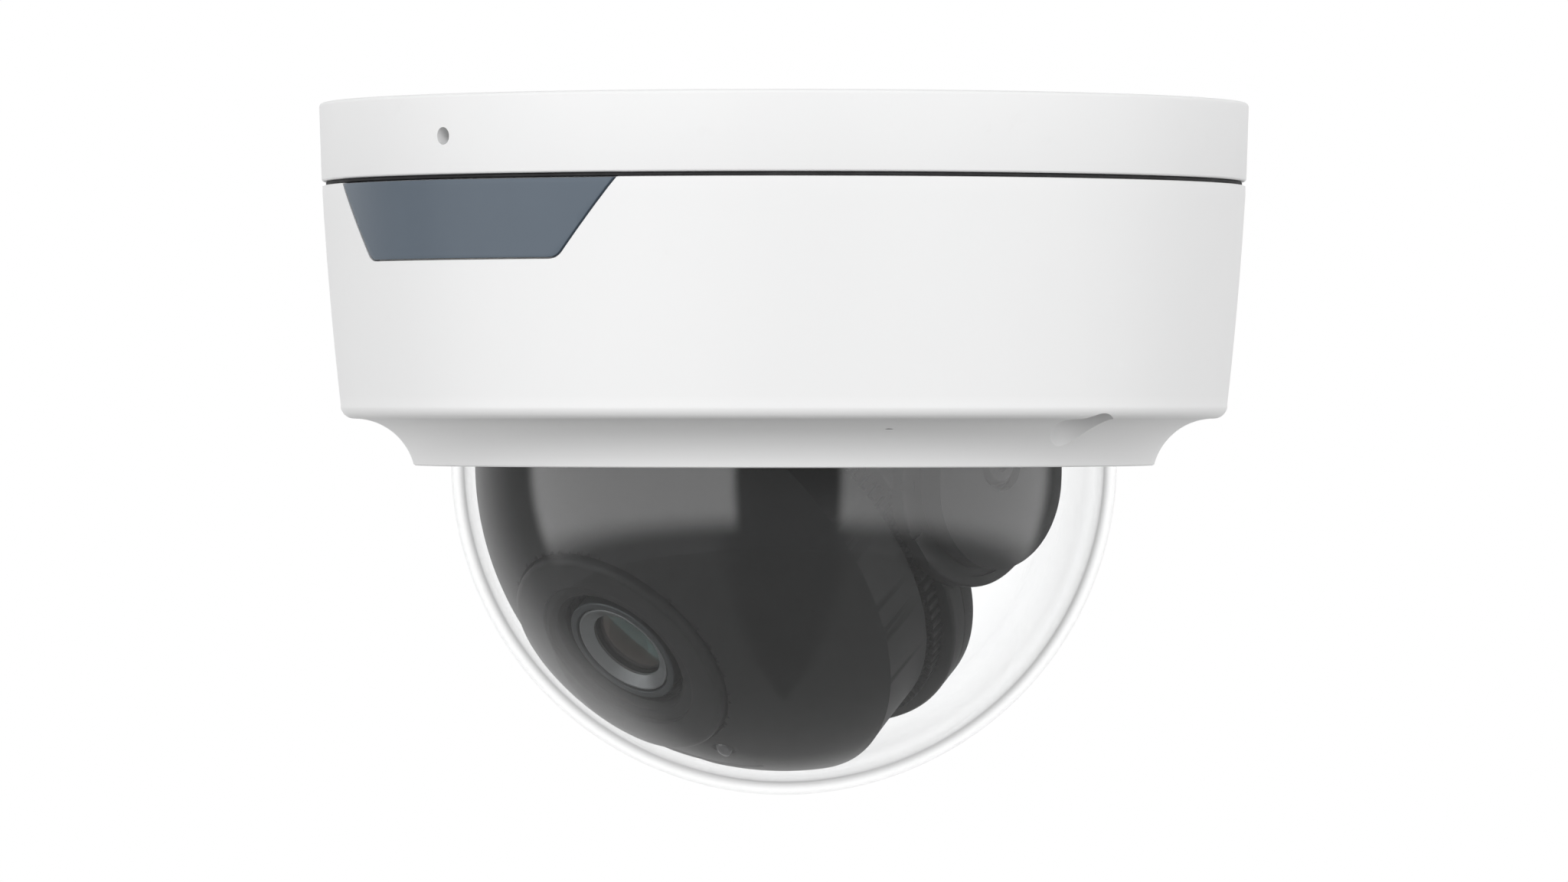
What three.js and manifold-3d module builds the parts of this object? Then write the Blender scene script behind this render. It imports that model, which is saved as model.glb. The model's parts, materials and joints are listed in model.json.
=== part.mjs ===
// Dome security camera for a ceiling, built as separate pieces.
// Millimetres, +Z up. The origin is the centre of the flat back that lies on the ceiling,
// the object hangs down from it, and its front (badge, microphone, lens) faces -Y.
import * as THREE from "three";
import { mergeVertices } from "three/addons/utils/BufferGeometryUtils.js";
import Module from "manifold-3d";

const wasm = await Module();
wasm.setup();

// ---- driving dimensions ----
const GAP = 0.3; // left between pieces that touch or are let into each other
const FACETS = 32; // round the large turned pieces
const SMALL_FACETS = 12; // round screws and small bosses

// base casting
const BASE_R = 54.5;
const BASE_RIM_R = 54.2;
const BASE_Z = -9.15; // lower face of the rim
const BASE_EDGE = 0.3;
const BACK_WALL = 2.6;
const CUP_R = 50.4; // inside of the rim
const PILLAR_R0 = 48.1; // circle of the two cover screws, on the X axis
const PILLAR_R = 2;
const PILLAR_Z = -30;
const CORNER_R0 = 43.6; // circle of the cable hole and the three wall screws
const CABLE_HOLE_R = 6.2;
const WALL_SCREW_R = 2.25;
const WALL_SCREW_ANGLES = [135, 225, 315];
const CABLE_HOLE_ANGLE = 45;
const THREAD_BORE_R = 1.4; // tapped bore in a pillar
const STANDOFF_BORE_R = 1.1;
const STANDOFF_END = -4.5;
const MIC_Z = -4.8;
const MIC_HOLE_R = 1;
const STANDOFF_R = 2.2;
const BOARD_SCREW_R0 = 39.8; // circle of the screws that hold liner and board
const PAN_SCREW_R0 = 26; // circle of the screws that hold the pan base
const BOARD_SCREW_ANGLES = [30, 150, 270];
const PAN_SCREW_ANGLES = [60, 240];
const STANDOFFS = [
  ...BOARD_SCREW_ANGLES.map((angle) => [angle, BOARD_SCREW_R0]),
  ...PAN_SCREW_ANGLES.map((angle) => [angle, PAN_SCREW_R0]),
];

// seam between base and cover
const SEAM = 0.5;
const GASKET_R = 53.7;

// cover and dome window
const COVER_TOP = BASE_Z - SEAM;
const COVER_WALL = 2;
const COVER_R = 54.16;
const COVER_TAPER = 0.058; // the side leans in and bows slightly: r = R - a t - b t^2
const COVER_BOW = 0.00107;
const SHOULDER_Z = -35.3;
const SHOULDER_R0 = 50.4;
const SHOULDER_FILLET = 1.6;
const COVE_Z = -44.1; // centre of the hollow sweep under the shoulder
const COVE_R = 7.2;
const LIP_R = 43.5;
const LIP_Z = -42.37;
const LIP_HOLE_R = 39.5;
const DOME_Z = -41.98; // centre of the clear hemisphere
const DOME_R = 39.06;
const DOME_WALL = 1.5;
const POCKET_R = 3.6; // screw pockets in the cover
const POCKET_TOP = -33;

// eyeball: centre, and angle of the lens below the horizon at rest
const BALL = new THREE.Vector3(0, 0, -42);
const LENS_DOWN = THREE.MathUtils.degToRad(39.5);
const FRONT_R = 36.25;
const FRONT_WALL = 1.6;
const NOSE_R = 14; // lens bezel, as a low round nose on the ball
const NOSE_W = 34.4;
const REAR_R = 25;
const DRUM_R = 30.8; // short drum in front of the rear bowl, level with the rotation ring
const KNUCKLE_R = 11.4;
const KNUCKLE_X = 31.4;
const KNUCKLE_AT = [-1.5, 2.3]; // the knuckle discs' centre, off the tilt axis, in the eyeball's own frame
const EAR_X0 = 31.7;
const EAR_X1 = 34.9;
const EAR_HALF = 9.75;
const EAR_DROP = 2.2; // centre of the ear's round end, below the tilt axis
const SWEEP_R = 36.2; // circle that the yoke stays inside

// ---- materials ----
function finish(color, roughness, metalness = 0, opacity = 1) {
  const transparent = opacity < 1;
  return new THREE.MeshStandardMaterial({ color, roughness, metalness, opacity, transparent });
}
const whitePaint = finish(0xeeeeee, 0.45);
const whitePlastic = finish(0xf0f0f0, 0.5);
const slatePlastic = finish(0x59636d, 0.45);
const blackPlastic = finish(0x1d1e20, 0.45);
const blackRubber = finish(0x222325, 0.85);
const clearPlastic = finish(0xf4f8fa, 0.03, 0, 0.2);
const lensGlass = finish(0x1f3a38, 0.02, 0, 0.5);
const greyAnodised = finish(0x6d7478, 0.35, 0.8);
const blackAnodised = finish(0x17181a, 0.4, 0.6);
const steel = finish(0xb9bcc0, 0.3, 1);
const boardGreen = finish(0x1f5a34, 0.5);
const chipBlack = finish(0x151517, 0.5);
const padGrey = finish(0x9aa0a6, 0.9);
const tinned = finish(0xc8ccd0, 0.3, 0.9);

// ---- shapes ----
function arc(cx, cz, r, from, to, steps) {
  const points = [];
  for (let i = 0; i <= steps; i++) {
    const a = THREE.MathUtils.degToRad(from + ((to - from) * i) / steps);
    points.push([cx + r * Math.cos(a), cz + r * Math.sin(a)]);
  }
  return points;
}

// A body turned about Z. The outline, [radius, height], closes on itself or ends on the axis.
function turned(outline, facets = FACETS) {
  const closed = outline.concat([outline[0]]);
  let area = 0;
  for (let i = 0; i + 1 < closed.length; i++) {
    area += closed[i][0] * closed[i + 1][1] - closed[i + 1][0] * closed[i][1];
  }
  const onAxis = outline[0][0] === 0 && outline.at(-1)[0] === 0;
  const points = (onAxis ? outline : closed).map(([r, z]) => new THREE.Vector2(r, z));
  if (area < 0) points.reverse();
  return new THREE.LatheGeometry(points, facets).rotateX(Math.PI / 2);
}

function tube(rOut, rIn, z0, z1, facets = FACETS) {
  const outline = [[rIn, z0], [rOut, z0], [rOut, z1], [rIn, z1]];
  return turned(outline, facets);
}

function rod(r, z0, z1, facets = SMALL_FACETS) {
  const length = Math.abs(z1 - z0);
  const bar = new THREE.CylinderGeometry(r, r, length, facets);
  return bar.rotateX(Math.PI / 2).translate(0, 0, (z0 + z1) / 2);
}

function block(width, depth, z0, z1) {
  return new THREE.BoxGeometry(width, depth, Math.abs(z1 - z0)).translate(0, 0, (z0 + z1) / 2);
}

function ball(r, across = FACETS, down = 24) {
  return new THREE.SphereGeometry(r, across, down).rotateX(Math.PI / 2);
}

// ---- joining and cutting ----
function solid(geometry) {
  const plain = geometry.index ? geometry.toNonIndexed() : geometry.clone();
  plain.deleteAttribute("normal");
  plain.deleteAttribute("uv");
  const merged = mergeVertices(plain, 1e-4);
  const vertProperties = merged.attributes.position.array;
  const corners = merged.index.array;
  const kept = [];
  for (let i = 0; i < corners.length; i += 3) {
    const [a, b, c] = [corners[i], corners[i + 1], corners[i + 2]];
    if (a !== b && b !== c && c !== a) kept.push(a, b, c);
  }
  const triVerts = new Uint32Array(kept);
  return new wasm.Manifold(new wasm.Mesh({ numProp: 3, vertProperties, triVerts }));
}

function join(...geometries) {
  return geometries.map(solid).reduce((whole, next) => whole.add(next));
}

function cut(body, ...tools) {
  const start = body.getMesh ? body : solid(body);
  return tools.map(solid).reduce((whole, tool) => whole.subtract(tool), start);
}

function geometryOf(body) {
  const mesh = body.getMesh();
  const positions = new Float32Array(mesh.vertProperties);
  const geometry = new THREE.BufferGeometry();
  geometry.setAttribute("position", new THREE.BufferAttribute(positions, 3));
  geometry.setIndex(new THREE.BufferAttribute(new Uint32Array(mesh.triVerts), 1));
  return geometry;
}

// ---- scene graph: one group for each rigid body ----
const camera = new THREE.Group();
const base = new THREE.Group();
const cover = new THREE.Group();
const pan = new THREE.Group();
const tilt = new THREE.Group();
const lens = new THREE.Group();
const filter = new THREE.Group();
camera.add(base, cover, pan, tilt, lens, filter);

// The eyeball's own frame: its centre, with +Z along the lens and +X level.
for (const group of [tilt, lens, filter]) {
  group.position.copy(BALL);
  group.rotation.x = Math.PI / 2 + LENS_DOWN;
}

function piece(group, name, shape, material) {
  const geometry = shape.getMesh ? geometryOf(shape) : shape;
  const mesh = new THREE.Mesh(geometry, material);
  mesh.name = name;
  group.add(mesh);
  return mesh;
}

// Places a shape at an angle round Z, at a distance from the axis.
function around(geometry, degrees, radius) {
  return geometry.translate(radius, 0, 0).rotateZ(THREE.MathUtils.degToRad(degrees));
}

// A screw with its head's seat at z = seat, its shank running to z = tip.
function screw(headR, headHeight, shankR, seat, tip) {
  const away = Math.sign(seat - tip);
  const head = rod(headR, seat - away * 0.02, seat + away * headHeight, 10);
  const shank = rod(shankR, seat, tip, 6);
  const slot = block(headR * 1.2, 0.5, seat + away * headHeight * 0.5, seat + away * (headHeight + 1));
  return cut(join(head, shank), slot);
}

// ---- base: casting that screws to the ceiling ----
function baseCasting() {
  const cup = turned([
    [0, 0],
    [BASE_R - BASE_EDGE, 0],
    [BASE_R, -BASE_EDGE],
    [BASE_RIM_R, BASE_Z],
    [CUP_R, BASE_Z],
    [CUP_R, -BACK_WALL],
    [0, -BACK_WALL],
  ]);
  const added = [];
  const holes = [];
  for (const side of [1, -1]) {
    added.push(rod(PILLAR_R, -1, PILLAR_Z).translate(side * PILLAR_R0, 0, 0));
    holes.push(rod(THREAD_BORE_R, -19, PILLAR_Z - 1, 8).translate(side * PILLAR_R0, 0, 0));
  }
  for (const [angle, radius] of STANDOFFS) {
    added.push(around(rod(STANDOFF_R, -1, STANDOFF_END, 10), angle, radius));
    holes.push(around(rod(STANDOFF_BORE_R, -1.2, -6, 8), angle, radius));
  }
  holes.push(around(rod(CABLE_HOLE_R, 1, -6, 24), CABLE_HOLE_ANGLE, CORNER_R0));
  for (const angle of WALL_SCREW_ANGLES) {
    holes.push(around(rod(WALL_SCREW_R, 1, -6), angle, CORNER_R0));
  }
  holes.push(rod(MIC_HOLE_R, -BASE_R - 1.5, -45, 12).rotateX(-Math.PI / 2).translate(0, 0, MIC_Z));
  return cut(join(cup, ...added), ...holes);
}

piece(base, "base_casting", baseCasting(), whitePaint);

piece(base, "seam_gasket", tube(GASKET_R, 51, BASE_Z - 0.45, BASE_Z - 0.05), blackRubber);

// Rubber bush in the cable hole: a flange inside the cup and a collar through the wall.
const bush = [[3.4, -0.1], [5.9, -0.1], [5.9, -2.9], [6.7, -2.9], [6.7, -4.1], [3.4, -4.1]];
piece(base, "cable_grommet", around(turned(bush, 24), CABLE_HOLE_ANGLE, CORNER_R0), blackRubber);

// Microphone: capsule in a rubber boot behind the hole in the rim.
function alongFront(geometry, z) {
  return geometry.rotateX(-Math.PI / 2).translate(0, 0, z);
}
piece(base, "mic_boot", alongFront(tube(1.95, 1.3, -49.9, -46.2, 16), MIC_Z), blackRubber);
piece(base, "mic_capsule", alongFront(rod(1.1, -49.6, -46.8, 12), MIC_Z), tinned);

// ---- electronics on the main board ----
const BOARD = { top: -4.8, bottom: -6.2, r: 49.6 };
function mainBoard() {
  const holes = [];
  for (const side of [1, -1]) holes.push(rod(3.2, -3, -8).translate(side * PILLAR_R0, 0, 0));
  for (const angle of WALL_SCREW_ANGLES) holes.push(around(rod(4.8, -3, -8), angle, 46.4));
  holes.push(around(rod(7.2, -3, -8, 24), CABLE_HOLE_ANGLE, CORNER_R0 + 0.8));
  holes.push(block(6, 8, -3, -8).translate(0, -49.5, 0));
  for (const [angle, radius] of STANDOFFS) holes.push(around(rod(1.4, -3, -8, 8), angle, radius));
  return cut(rod(BOARD.r, BOARD.top, BOARD.bottom, FACETS), ...holes);
}
piece(base, "main_board", mainBoard(), boardGreen);
piece(base, "processor", block(14, 14, -3.6, -4.7), chipBlack);
piece(base, "thermal_pad", block(13, 13, -2.75, -3.45), padGrey);

const JACK = { width: 16, y0: 38.4, y1: 48.7, top: -6.5, bottom: -20.5 };
function networkJack() {
  const depth = JACK.y1 - JACK.y0;
  const middle = (JACK.y0 + JACK.y1) / 2;
  const shell = block(JACK.width, depth, JACK.top, JACK.bottom);
  const mouth = block(11.8, 7.6, JACK.bottom + 11, JACK.bottom - 1);
  const latch = block(6, 1.6, JACK.bottom + 9, JACK.bottom - 1).translate(0, 4.2, 0);
  return geometryOf(cut(shell, mouth, latch)).translate(0, middle, 0);
}
piece(base, "rj45_jack", networkJack(), steel);

function onBoard(width, depth, height, angle, radius) {
  return around(block(depth, width, BOARD.bottom - 0.2, BOARD.bottom - 0.2 - height), angle, radius);
}
piece(base, "poe_transformer", onBoard(14, 9, 9, 118, 43), chipBlack);
piece(base, "microsd_socket", onBoard(14, 11.4, 1.9, 292, 43.4), tinned);
piece(base, "capacitor", around(rod(3.6, BOARD.bottom - 0.2, BOARD.bottom - 9.2, 12), 200, 42.6), tinned);

// Reset switch with its sprung plunger.
const RESET = { angle: 337, radius: 42.6 };
const switchBody = cut(block(6, 6, -6.4, -9.4), rod(1.9, -7.4, -10));
const switchGeometry = around(geometryOf(switchBody), RESET.angle, RESET.radius);
piece(base, "reset_switch", switchGeometry, chipBlack);
const plunger = around(rod(1.6, -7.8, -10.6, 12), RESET.angle, RESET.radius);
piece(base, "reset_button", plunger, whitePlastic);

// ---- liner: black sleeve that hides the electronics round the eyeball ----
const LINER = { rIn: 36.7, rOut: 37.5, top: -6.5, bottom: -34.2, flangeR: 42.5 };
function linerSleeve() {
  const outline = [
    [LINER.rIn, -33],
    [LINER.rIn, LINER.top],
    [LINER.rOut, LINER.top],
    [LINER.rOut, -33],
    [LINER.flangeR, -33],
    [LINER.flangeR, LINER.bottom],
    [LINER.rIn + 0.8, LINER.bottom],
  ];
  const tabs = BOARD_SCREW_ANGLES.map((angle) => around(block(7, 6, LINER.top, -8), angle, BOARD_SCREW_R0));
  const bore = rod(LINER.rIn, -1, -40, FACETS);
  const holes = BOARD_SCREW_ANGLES.map((angle) => around(rod(1.4, -5, -9, 8), angle, BOARD_SCREW_R0));
  const portWindow = block(17, 14, -30, -36).translate(0, 45, 0);
  const cardWindow = around(block(8, 17, -30, -36), 292, 43.2);
  const resetWindow = around(rod(2.4, -30, -36, 12), RESET.angle, 42);
  const sleeve = join(turned(outline), ...tabs);
  return cut(sleeve, bore, ...holes, portWindow, cardWindow, resetWindow);
}
piece(base, "inner_liner", linerSleeve(), blackPlastic);
BOARD_SCREW_ANGLES.forEach((angle, i) => {
  const fixing = around(geometryOf(screw(2, 1.2, 0.8, -8.3, -2.9)), angle, BOARD_SCREW_R0);
  piece(base, `board_screw_${i + 1}`, fixing, steel);
});

// ---- pan: fixed base with a hollow hub, and the yoke that turns round it ----
const PAN = { top: -6.5, plate: -8, hubR: 10.6, boreR: 7.5, hubEnd: -10.6 };
function panBase() {
  const outline = [
    [PAN.boreR, PAN.top],
    [30, PAN.top],
    [30, PAN.plate],
    [PAN.hubR, PAN.plate],
    [PAN.hubR, PAN.hubEnd],
    [PAN.boreR, PAN.hubEnd],
  ];
  const holes = PAN_SCREW_ANGLES.map((angle) => around(rod(2.3, -7.3, -9, 10), angle, PAN_SCREW_R0));
  const shanks = PAN_SCREW_ANGLES.map((angle) => around(rod(1.4, -5, -9, 8), angle, PAN_SCREW_R0));
  return cut(turned(outline, 36), ...holes, ...shanks);
}
piece(base, "pan_base", panBase(), blackPlastic);
PAN_SCREW_ANGLES.forEach((angle, i) => {
  const low = screw(1.9, 0.6, 0.8, -7.35, -2.9);
  piece(base, `pan_base_screw_${i + 1}`, around(geometryOf(low), angle, PAN_SCREW_R0), steel);
});
piece(base, "pan_washer", tube(20, 11.2, -8.1, -8.3, 32), padGrey);
piece(base, "pan_retainer", tube(12.8, PAN.boreR, -10.75, -11.2, 32), steel);

// The yoke is one moulding: a turntable and two ears clipped to a sphere about the eyeball.
const TABLE = { top: -8.4, bottom: -10.3, holeR: 11 };
function yoke() {
  const table = tube(SWEEP_R, TABLE.holeR, TABLE.top, TABLE.bottom, FACETS);
  const parts = [];
  const holes = [];
  for (const side of [1, -1]) {
    const middle = (side * (EAR_X0 + EAR_X1)) / 2;
    const ear = block(EAR_X1 - EAR_X0, 2 * EAR_HALF, TABLE.top - 0.5, BALL.z - EAR_DROP);
    parts.push(ear.translate(middle, 0, 0));
    const round = rod(EAR_HALF, -(EAR_X1 - EAR_X0) / 2, (EAR_X1 - EAR_X0) / 2, 32);
    parts.push(round.rotateY(Math.PI / 2).translate(middle, 0, BALL.z - EAR_DROP));
    const bore = rod(1.9, EAR_X0 - 1, EAR_X1 + 1).rotateY(Math.PI / 2);
    const recess = rod(3.1, EAR_X1 - 1.2, EAR_X1 + 1, 20).rotateY(Math.PI / 2);
    for (const tool of [bore, recess]) {
      holes.push(tool.rotateZ(side > 0 ? 0 : Math.PI).translate(0, 0, BALL.z));
    }
  }
  const barrel = rod(SWEEP_R, -5, BALL.z, FACETS);
  const bowl = ball(SWEEP_R).translate(0, 0, BALL.z);
  return cut(join(table, ...parts).intersect(join(barrel, bowl)), ...holes);
}
piece(pan, "yoke", yoke(), blackPlastic);
for (const [side, name] of [[1, "right"], [-1, "left"]]) {
  const turn = side > 0 ? Math.PI / 2 : -Math.PI / 2;
  const pivot = geometryOf(screw(2.5, 1, 1.5, EAR_X1 - 1, 29.6));
  piece(pan, `tilt_screw_${name}`, pivot.rotateY(turn).translate(0, 0, BALL.z), steel);
  const washer = tube(6, 1.9, 31.2, 31.55, 20).rotateY(turn).translate(0, 0, BALL.z);
  piece(pan, `tilt_washer_${name}`, washer, padGrey);
}

// ---- tilt: rear shell with its two knuckles, and the toothed ring the front turns on ----
const REAR = { wall: 1.6, back: 7, rim: 9.3, rimWall: 1.6, holeR: 5.5, faceX: 31.1, lipR: 10.2 };
const RING = { innerR: 26.9, top: 11.6, toothTop: 13.4, toothR: 29.2, toothDepth: 0.8, teeth: 120 };

// A disc on the end of the tilt axis, from x0 to x1 on one side.
function knuckleDisc(r, x0, x1, side, facets = 24) {
  return rod(r, x0, x1, facets).rotateY((side * Math.PI) / 2).translate(0, ...KNUCKLE_AT);
}

function rearShell() {
  const inside = REAR_R - REAR.wall;
  const floor = REAR.back + REAR.wall;
  const outer = arc(0, 0, REAR_R, -90, THREE.MathUtils.radToDeg(Math.asin(REAR.back / REAR_R)), 8);
  const inner = arc(0, 0, inside, -90, THREE.MathUtils.radToDeg(Math.asin(floor / inside)), 8);
  outer[0][0] = 0;
  inner[0][0] = 0;
  const openR = DRUM_R - REAR.rimWall;
  const bowl = turned([...outer, [DRUM_R, REAR.back], [DRUM_R, REAR.rim], [0, REAR.rim]], 32);
  const hollow = turned([...inner, [openR, floor], [openR, RING.toothTop + 1], [0, RING.toothTop + 1]], 32);
  const knuckles = [];
  const dishes = [];
  for (const side of [1, -1]) {
    const knuckle = cut(
      knuckleDisc(KNUCKLE_R, 22, KNUCKLE_X, side),
      block(20, 30, RING.toothTop, 20).translate(side * 28, 0, 0),
      block(12, 30, REAR.rim, 20).translate(side * 23.5, 0, 0),
    );
    knuckles.push(geometryOf(knuckle));
    dishes.push(knuckleDisc(REAR.lipR, REAR.faceX, KNUCKLE_X + 1, side));
    dishes.push(rod(1.9, 27, KNUCKLE_X + 1).rotateY((side * Math.PI) / 2));
  }
  const hole = rod(REAR.holeR, -REAR_R - 1, -20, 20);
  return cut(join(bowl, ...knuckles), hollow, hole, ...dishes);
}
piece(tilt, "rear_shell", rearShell(), blackPlastic);

function toothedRing() {
  const outline = new THREE.Shape();
  const points = RING.teeth * 4;
  for (let i = 0; i < points; i++) {
    const a = ((i + 0.5) * 2 * Math.PI) / points;
    const r = i % 4 < 2 ? RING.toothR : RING.toothR - RING.toothDepth;
    if (i === 0) outline.moveTo(r * Math.cos(a), r * Math.sin(a));
    else outline.lineTo(r * Math.cos(a), r * Math.sin(a));
  }
  outline.holes.push(new THREE.Path().absarc(0, 0, RING.innerR, 0, 2 * Math.PI, true));
  const settings = { depth: RING.toothTop - RING.top + 0.2, bevelEnabled: false, curveSegments: 16 };
  const teeth = new THREE.ExtrudeGeometry(outline, settings).translate(0, 0, RING.top - 0.2);
  const flange = tube(DRUM_R, RING.innerR - 0.1, REAR.rim + GAP, RING.top);
  const notches = [1, -1].map((side) => knuckleDisc(KNUCKLE_R + GAP, 29.2, 33, side));
  return cut(join(flange, teeth), ...notches);
}
piece(tilt, "rotation_ring", toothedRing(), blackPlastic);
const rearBush = [[3, -24.5], [5.2, -24.5], [5.2, -22.1], [6.6, -22.1], [6.6, -20.9], [3, -20.9]];
piece(tilt, "rear_bush", turned(rearBush, 20), blackRubber);

// ---- lens body: front shell, bezel, lens and sensor ----
const SKIRT = { r: 29.6, innerR: 28, shift: 1.5, bottom: 14.3 }; // sleeve behind the cap, set a little high

// The front of a ball, trimmed to a circle about the sleeve's axis.
function trimmedCap(r, sleeveR, low) {
  const front = arc(0, 0, r, THREE.MathUtils.radToDeg(Math.asin(low / r)), 90, 12);
  front.at(-1)[0] = 0;
  const sleeve = rod(sleeveR, low, r + 1, FACETS).translate(0, SKIRT.shift, 0);
  return solid(turned([[0, low], ...front])).intersect(solid(sleeve));
}

function frontShell() {
  const hollow = trimmedCap(FRONT_R - FRONT_WALL, SKIRT.innerR, SKIRT.bottom - 1);
  const opening = rod(NOSE_R + GAP, 25, FRONT_R + 1, 40);
  const sensorHole = rod(1.3, 25, FRONT_R + 1, 12).translate(4.8, -15.9, 0);
  return cut(trimmedCap(FRONT_R, SKIRT.r, SKIRT.bottom), geometryOf(hollow), opening, sensorHole);
}
piece(lens, "front_shell", frontShell(), blackPlastic);
piece(lens, "light_sensor_window", rod(1, 31, 32.4, 12).translate(4.8, -15.9, 0), clearPlastic);

const RECESS = { outer: 10.1, inner: 8.6, back: 8 };
const bezel = [
  [RECESS.back, 32.2],
  [12.4, 32.2],
  [12.4, 28.9],
  [16, 28.9],
  [16, 30.2],
  [NOSE_R, 30.2],
  [NOSE_R, NOSE_W - 0.4],
  [NOSE_R - 0.4, NOSE_W],
  [RECESS.outer, NOSE_W],
  [RECESS.outer, NOSE_W - 0.5],
  [RECESS.inner, NOSE_W - 0.5],
  [RECESS.back, 33.1],
];
piece(lens, "lens_bezel", turned(bezel, 28), blackPlastic);
piece(lens, "foam_ring", tube(12, 7.5, 29.6, 31.9, 24), blackRubber);

const BARREL = { headR: 7.1, threadR: 6, front: 33.6, shoulder: 27, rear: 13.6, boreR: 4.95 };
const barrel = [
  [6.2, BARREL.front],
  [BARREL.headR - 0.3, BARREL.front],
  [BARREL.headR, BARREL.front - 0.3],
  [BARREL.headR, BARREL.shoulder],
  [BARREL.threadR, BARREL.shoulder],
  [BARREL.threadR, BARREL.rear],
  [BARREL.boreR, BARREL.rear],
  [BARREL.boreR, 32.2],
  [6.2, 32.2],
];
piece(lens, "lens_barrel", turned(barrel, 24), blackAnodised);
const retainer = [[4.5, 32.35], [6, 32.35], [6, 33.45], [4.5, 32.65]];
piece(lens, "lens_retaining_ring", turned(retainer, 24), greyAnodised);

// A glass element: flat back, domed front.
function element(r, back, rim, crown) {
  const radius = (r * r + crown * crown) / (2 * crown);
  const half = THREE.MathUtils.radToDeg(Math.asin(r / radius));
  const dome = arc(0, rim + crown - radius, radius, 90 - half, 90, 4);
  dome[dome.length - 1][0] = 0;
  return turned([[0, back], [r, back], ...dome], 14);
}
piece(lens, "front_element", element(4.65, 29.8, 31.9, 0.95), lensGlass);
piece(lens, "middle_element", element(4.2, 24, 25.6, 0.8), lensGlass);
piece(lens, "rear_element", element(3.6, 17, 18.6, 0.6), lensGlass);
piece(lens, "focus_lock_ring", tube(9, 6.35, 22.5, 24.3, 24), steel);

// Holder: box over the sensor with a threaded tower for the barrel and two screw ears.
const HOLDER = { back: 4.7, top: 12.6, roof: 1.4, earX: 17 };
function lensHolder() {
  const box = block(30, 20, HOLDER.back, HOLDER.top);
  const ears = block(39, 8, HOLDER.top - 1.6, HOLDER.top);
  const tower = rod(8.4, HOLDER.top - 0.5, 22, 28);
  const cavity = block(27, 15.6, HOLDER.back - 1, HOLDER.top - HOLDER.roof);
  const bore = rod(6.35, 8, 23, 28);
  const holes = [1, -1].map((side) => rod(1.2, 9, 14, 10).translate(side * HOLDER.earX, 0, 0));
  return cut(join(box, ears, tower), cavity, bore, ...holes);
}
piece(lens, "lens_holder", lensHolder(), blackPlastic);

const CARRIER = { back: 13.8, front: 15.1, r: SKIRT.innerR - GAP, holeR: 9.2 };
function lensCarrier() {
  const plate = rod(CARRIER.r, CARRIER.back, CARRIER.front, 36).translate(0, SKIRT.shift, 0);
  const middle = rod(CARRIER.holeR, CARRIER.back - 1, CARRIER.front + 1, 36);
  const holes = [1, -1].map((side) => rod(1.2, 12, 17, 10).translate(side * HOLDER.earX, 0, 0));
  return cut(plate, middle, ...holes);
}
piece(lens, "lens_carrier", lensCarrier(), blackPlastic);
for (const [side, name] of [[1, "right"], [-1, "left"]]) {
  const fixing = geometryOf(screw(1.9, 1.1, 0.9, CARRIER.front + GAP, 10.8));
  piece(lens, `holder_screw_${name}`, fixing.translate(side * HOLDER.earX, 0, 0), steel);
}
piece(lens, "sensor_board", block(30, 26, 3, 4.4), boardGreen);
piece(lens, "image_sensor", block(11, 9, 4.6, 5.8), chipBlack);

// Day and night filter: a frame with two windows that slides behind the lens.
const FILTER = { z0: 8, z1: 9.2, pitch: 8.6, window: 8, pane: 7.4 };
function filterFrame() {
  const width = 2 * FILTER.pitch + 0.4;
  const frame = block(width, 10.4, FILTER.z0, FILTER.z1).translate(-FILTER.pitch / 2, 0, 0);
  const windows = [0, -FILTER.pitch].map((x) => {
    return block(FILTER.window, FILTER.window, FILTER.z0 - 1, FILTER.z1 + 1).translate(x, 0, 0);
  });
  return cut(frame, ...windows);
}
piece(filter, "filter_frame", filterFrame(), blackPlastic);
const panes = [["ir_cut_filter", 0], ["clear_filter", -FILTER.pitch]];
for (const [name, x] of panes) {
  const pane = block(FILTER.pane, FILTER.pane, FILTER.z0 + 0.3, FILTER.z1 - 0.3);
  piece(filter, name, pane.translate(x, 0, 0), lensGlass);
}

// ---- cover: white shell with the clear dome clamped in it ----
function coverSide(steps, inset) {
  const points = [];
  for (let i = 0; i <= steps; i++) {
    const z = COVER_TOP - 0.2 + ((SHOULDER_Z - COVER_TOP + 0.2) * i) / steps;
    const t = COVER_TOP - z;
    points.push([COVER_R - COVER_TAPER * t - COVER_BOW * t * t - inset, z]);
  }
  return points;
}

function coverOutside() {
  const side = coverSide(4, 0);
  const fillet = arc(SHOULDER_R0, SHOULDER_Z, SHOULDER_FILLET, 0, -90, 3);
  const lipAngle = THREE.MathUtils.radToDeg(Math.atan2(-42 - COVE_Z, LIP_R - SHOULDER_R0));
  const cove = arc(SHOULDER_R0, COVE_Z, COVE_R, 90, lipAngle, 5);
  return [[COVER_R - 0.2, COVER_TOP], ...side, ...fillet, ...cove.slice(1), [LIP_R - 0.3, LIP_Z]];
}

function coverInside() {
  const floor = [[LIP_HOLE_R, LIP_Z], [LIP_HOLE_R, -40.2], [42.3, -40.2], [43, -38.6], [44.6, -37]];
  const up = coverSide(3, COVER_WALL).reverse().slice(1);
  return [...floor, [46.6, -36], [48.9, -35.3], [49.8, -33.8], ...up, [COVER_R - COVER_WALL, COVER_TOP]];
}

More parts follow.
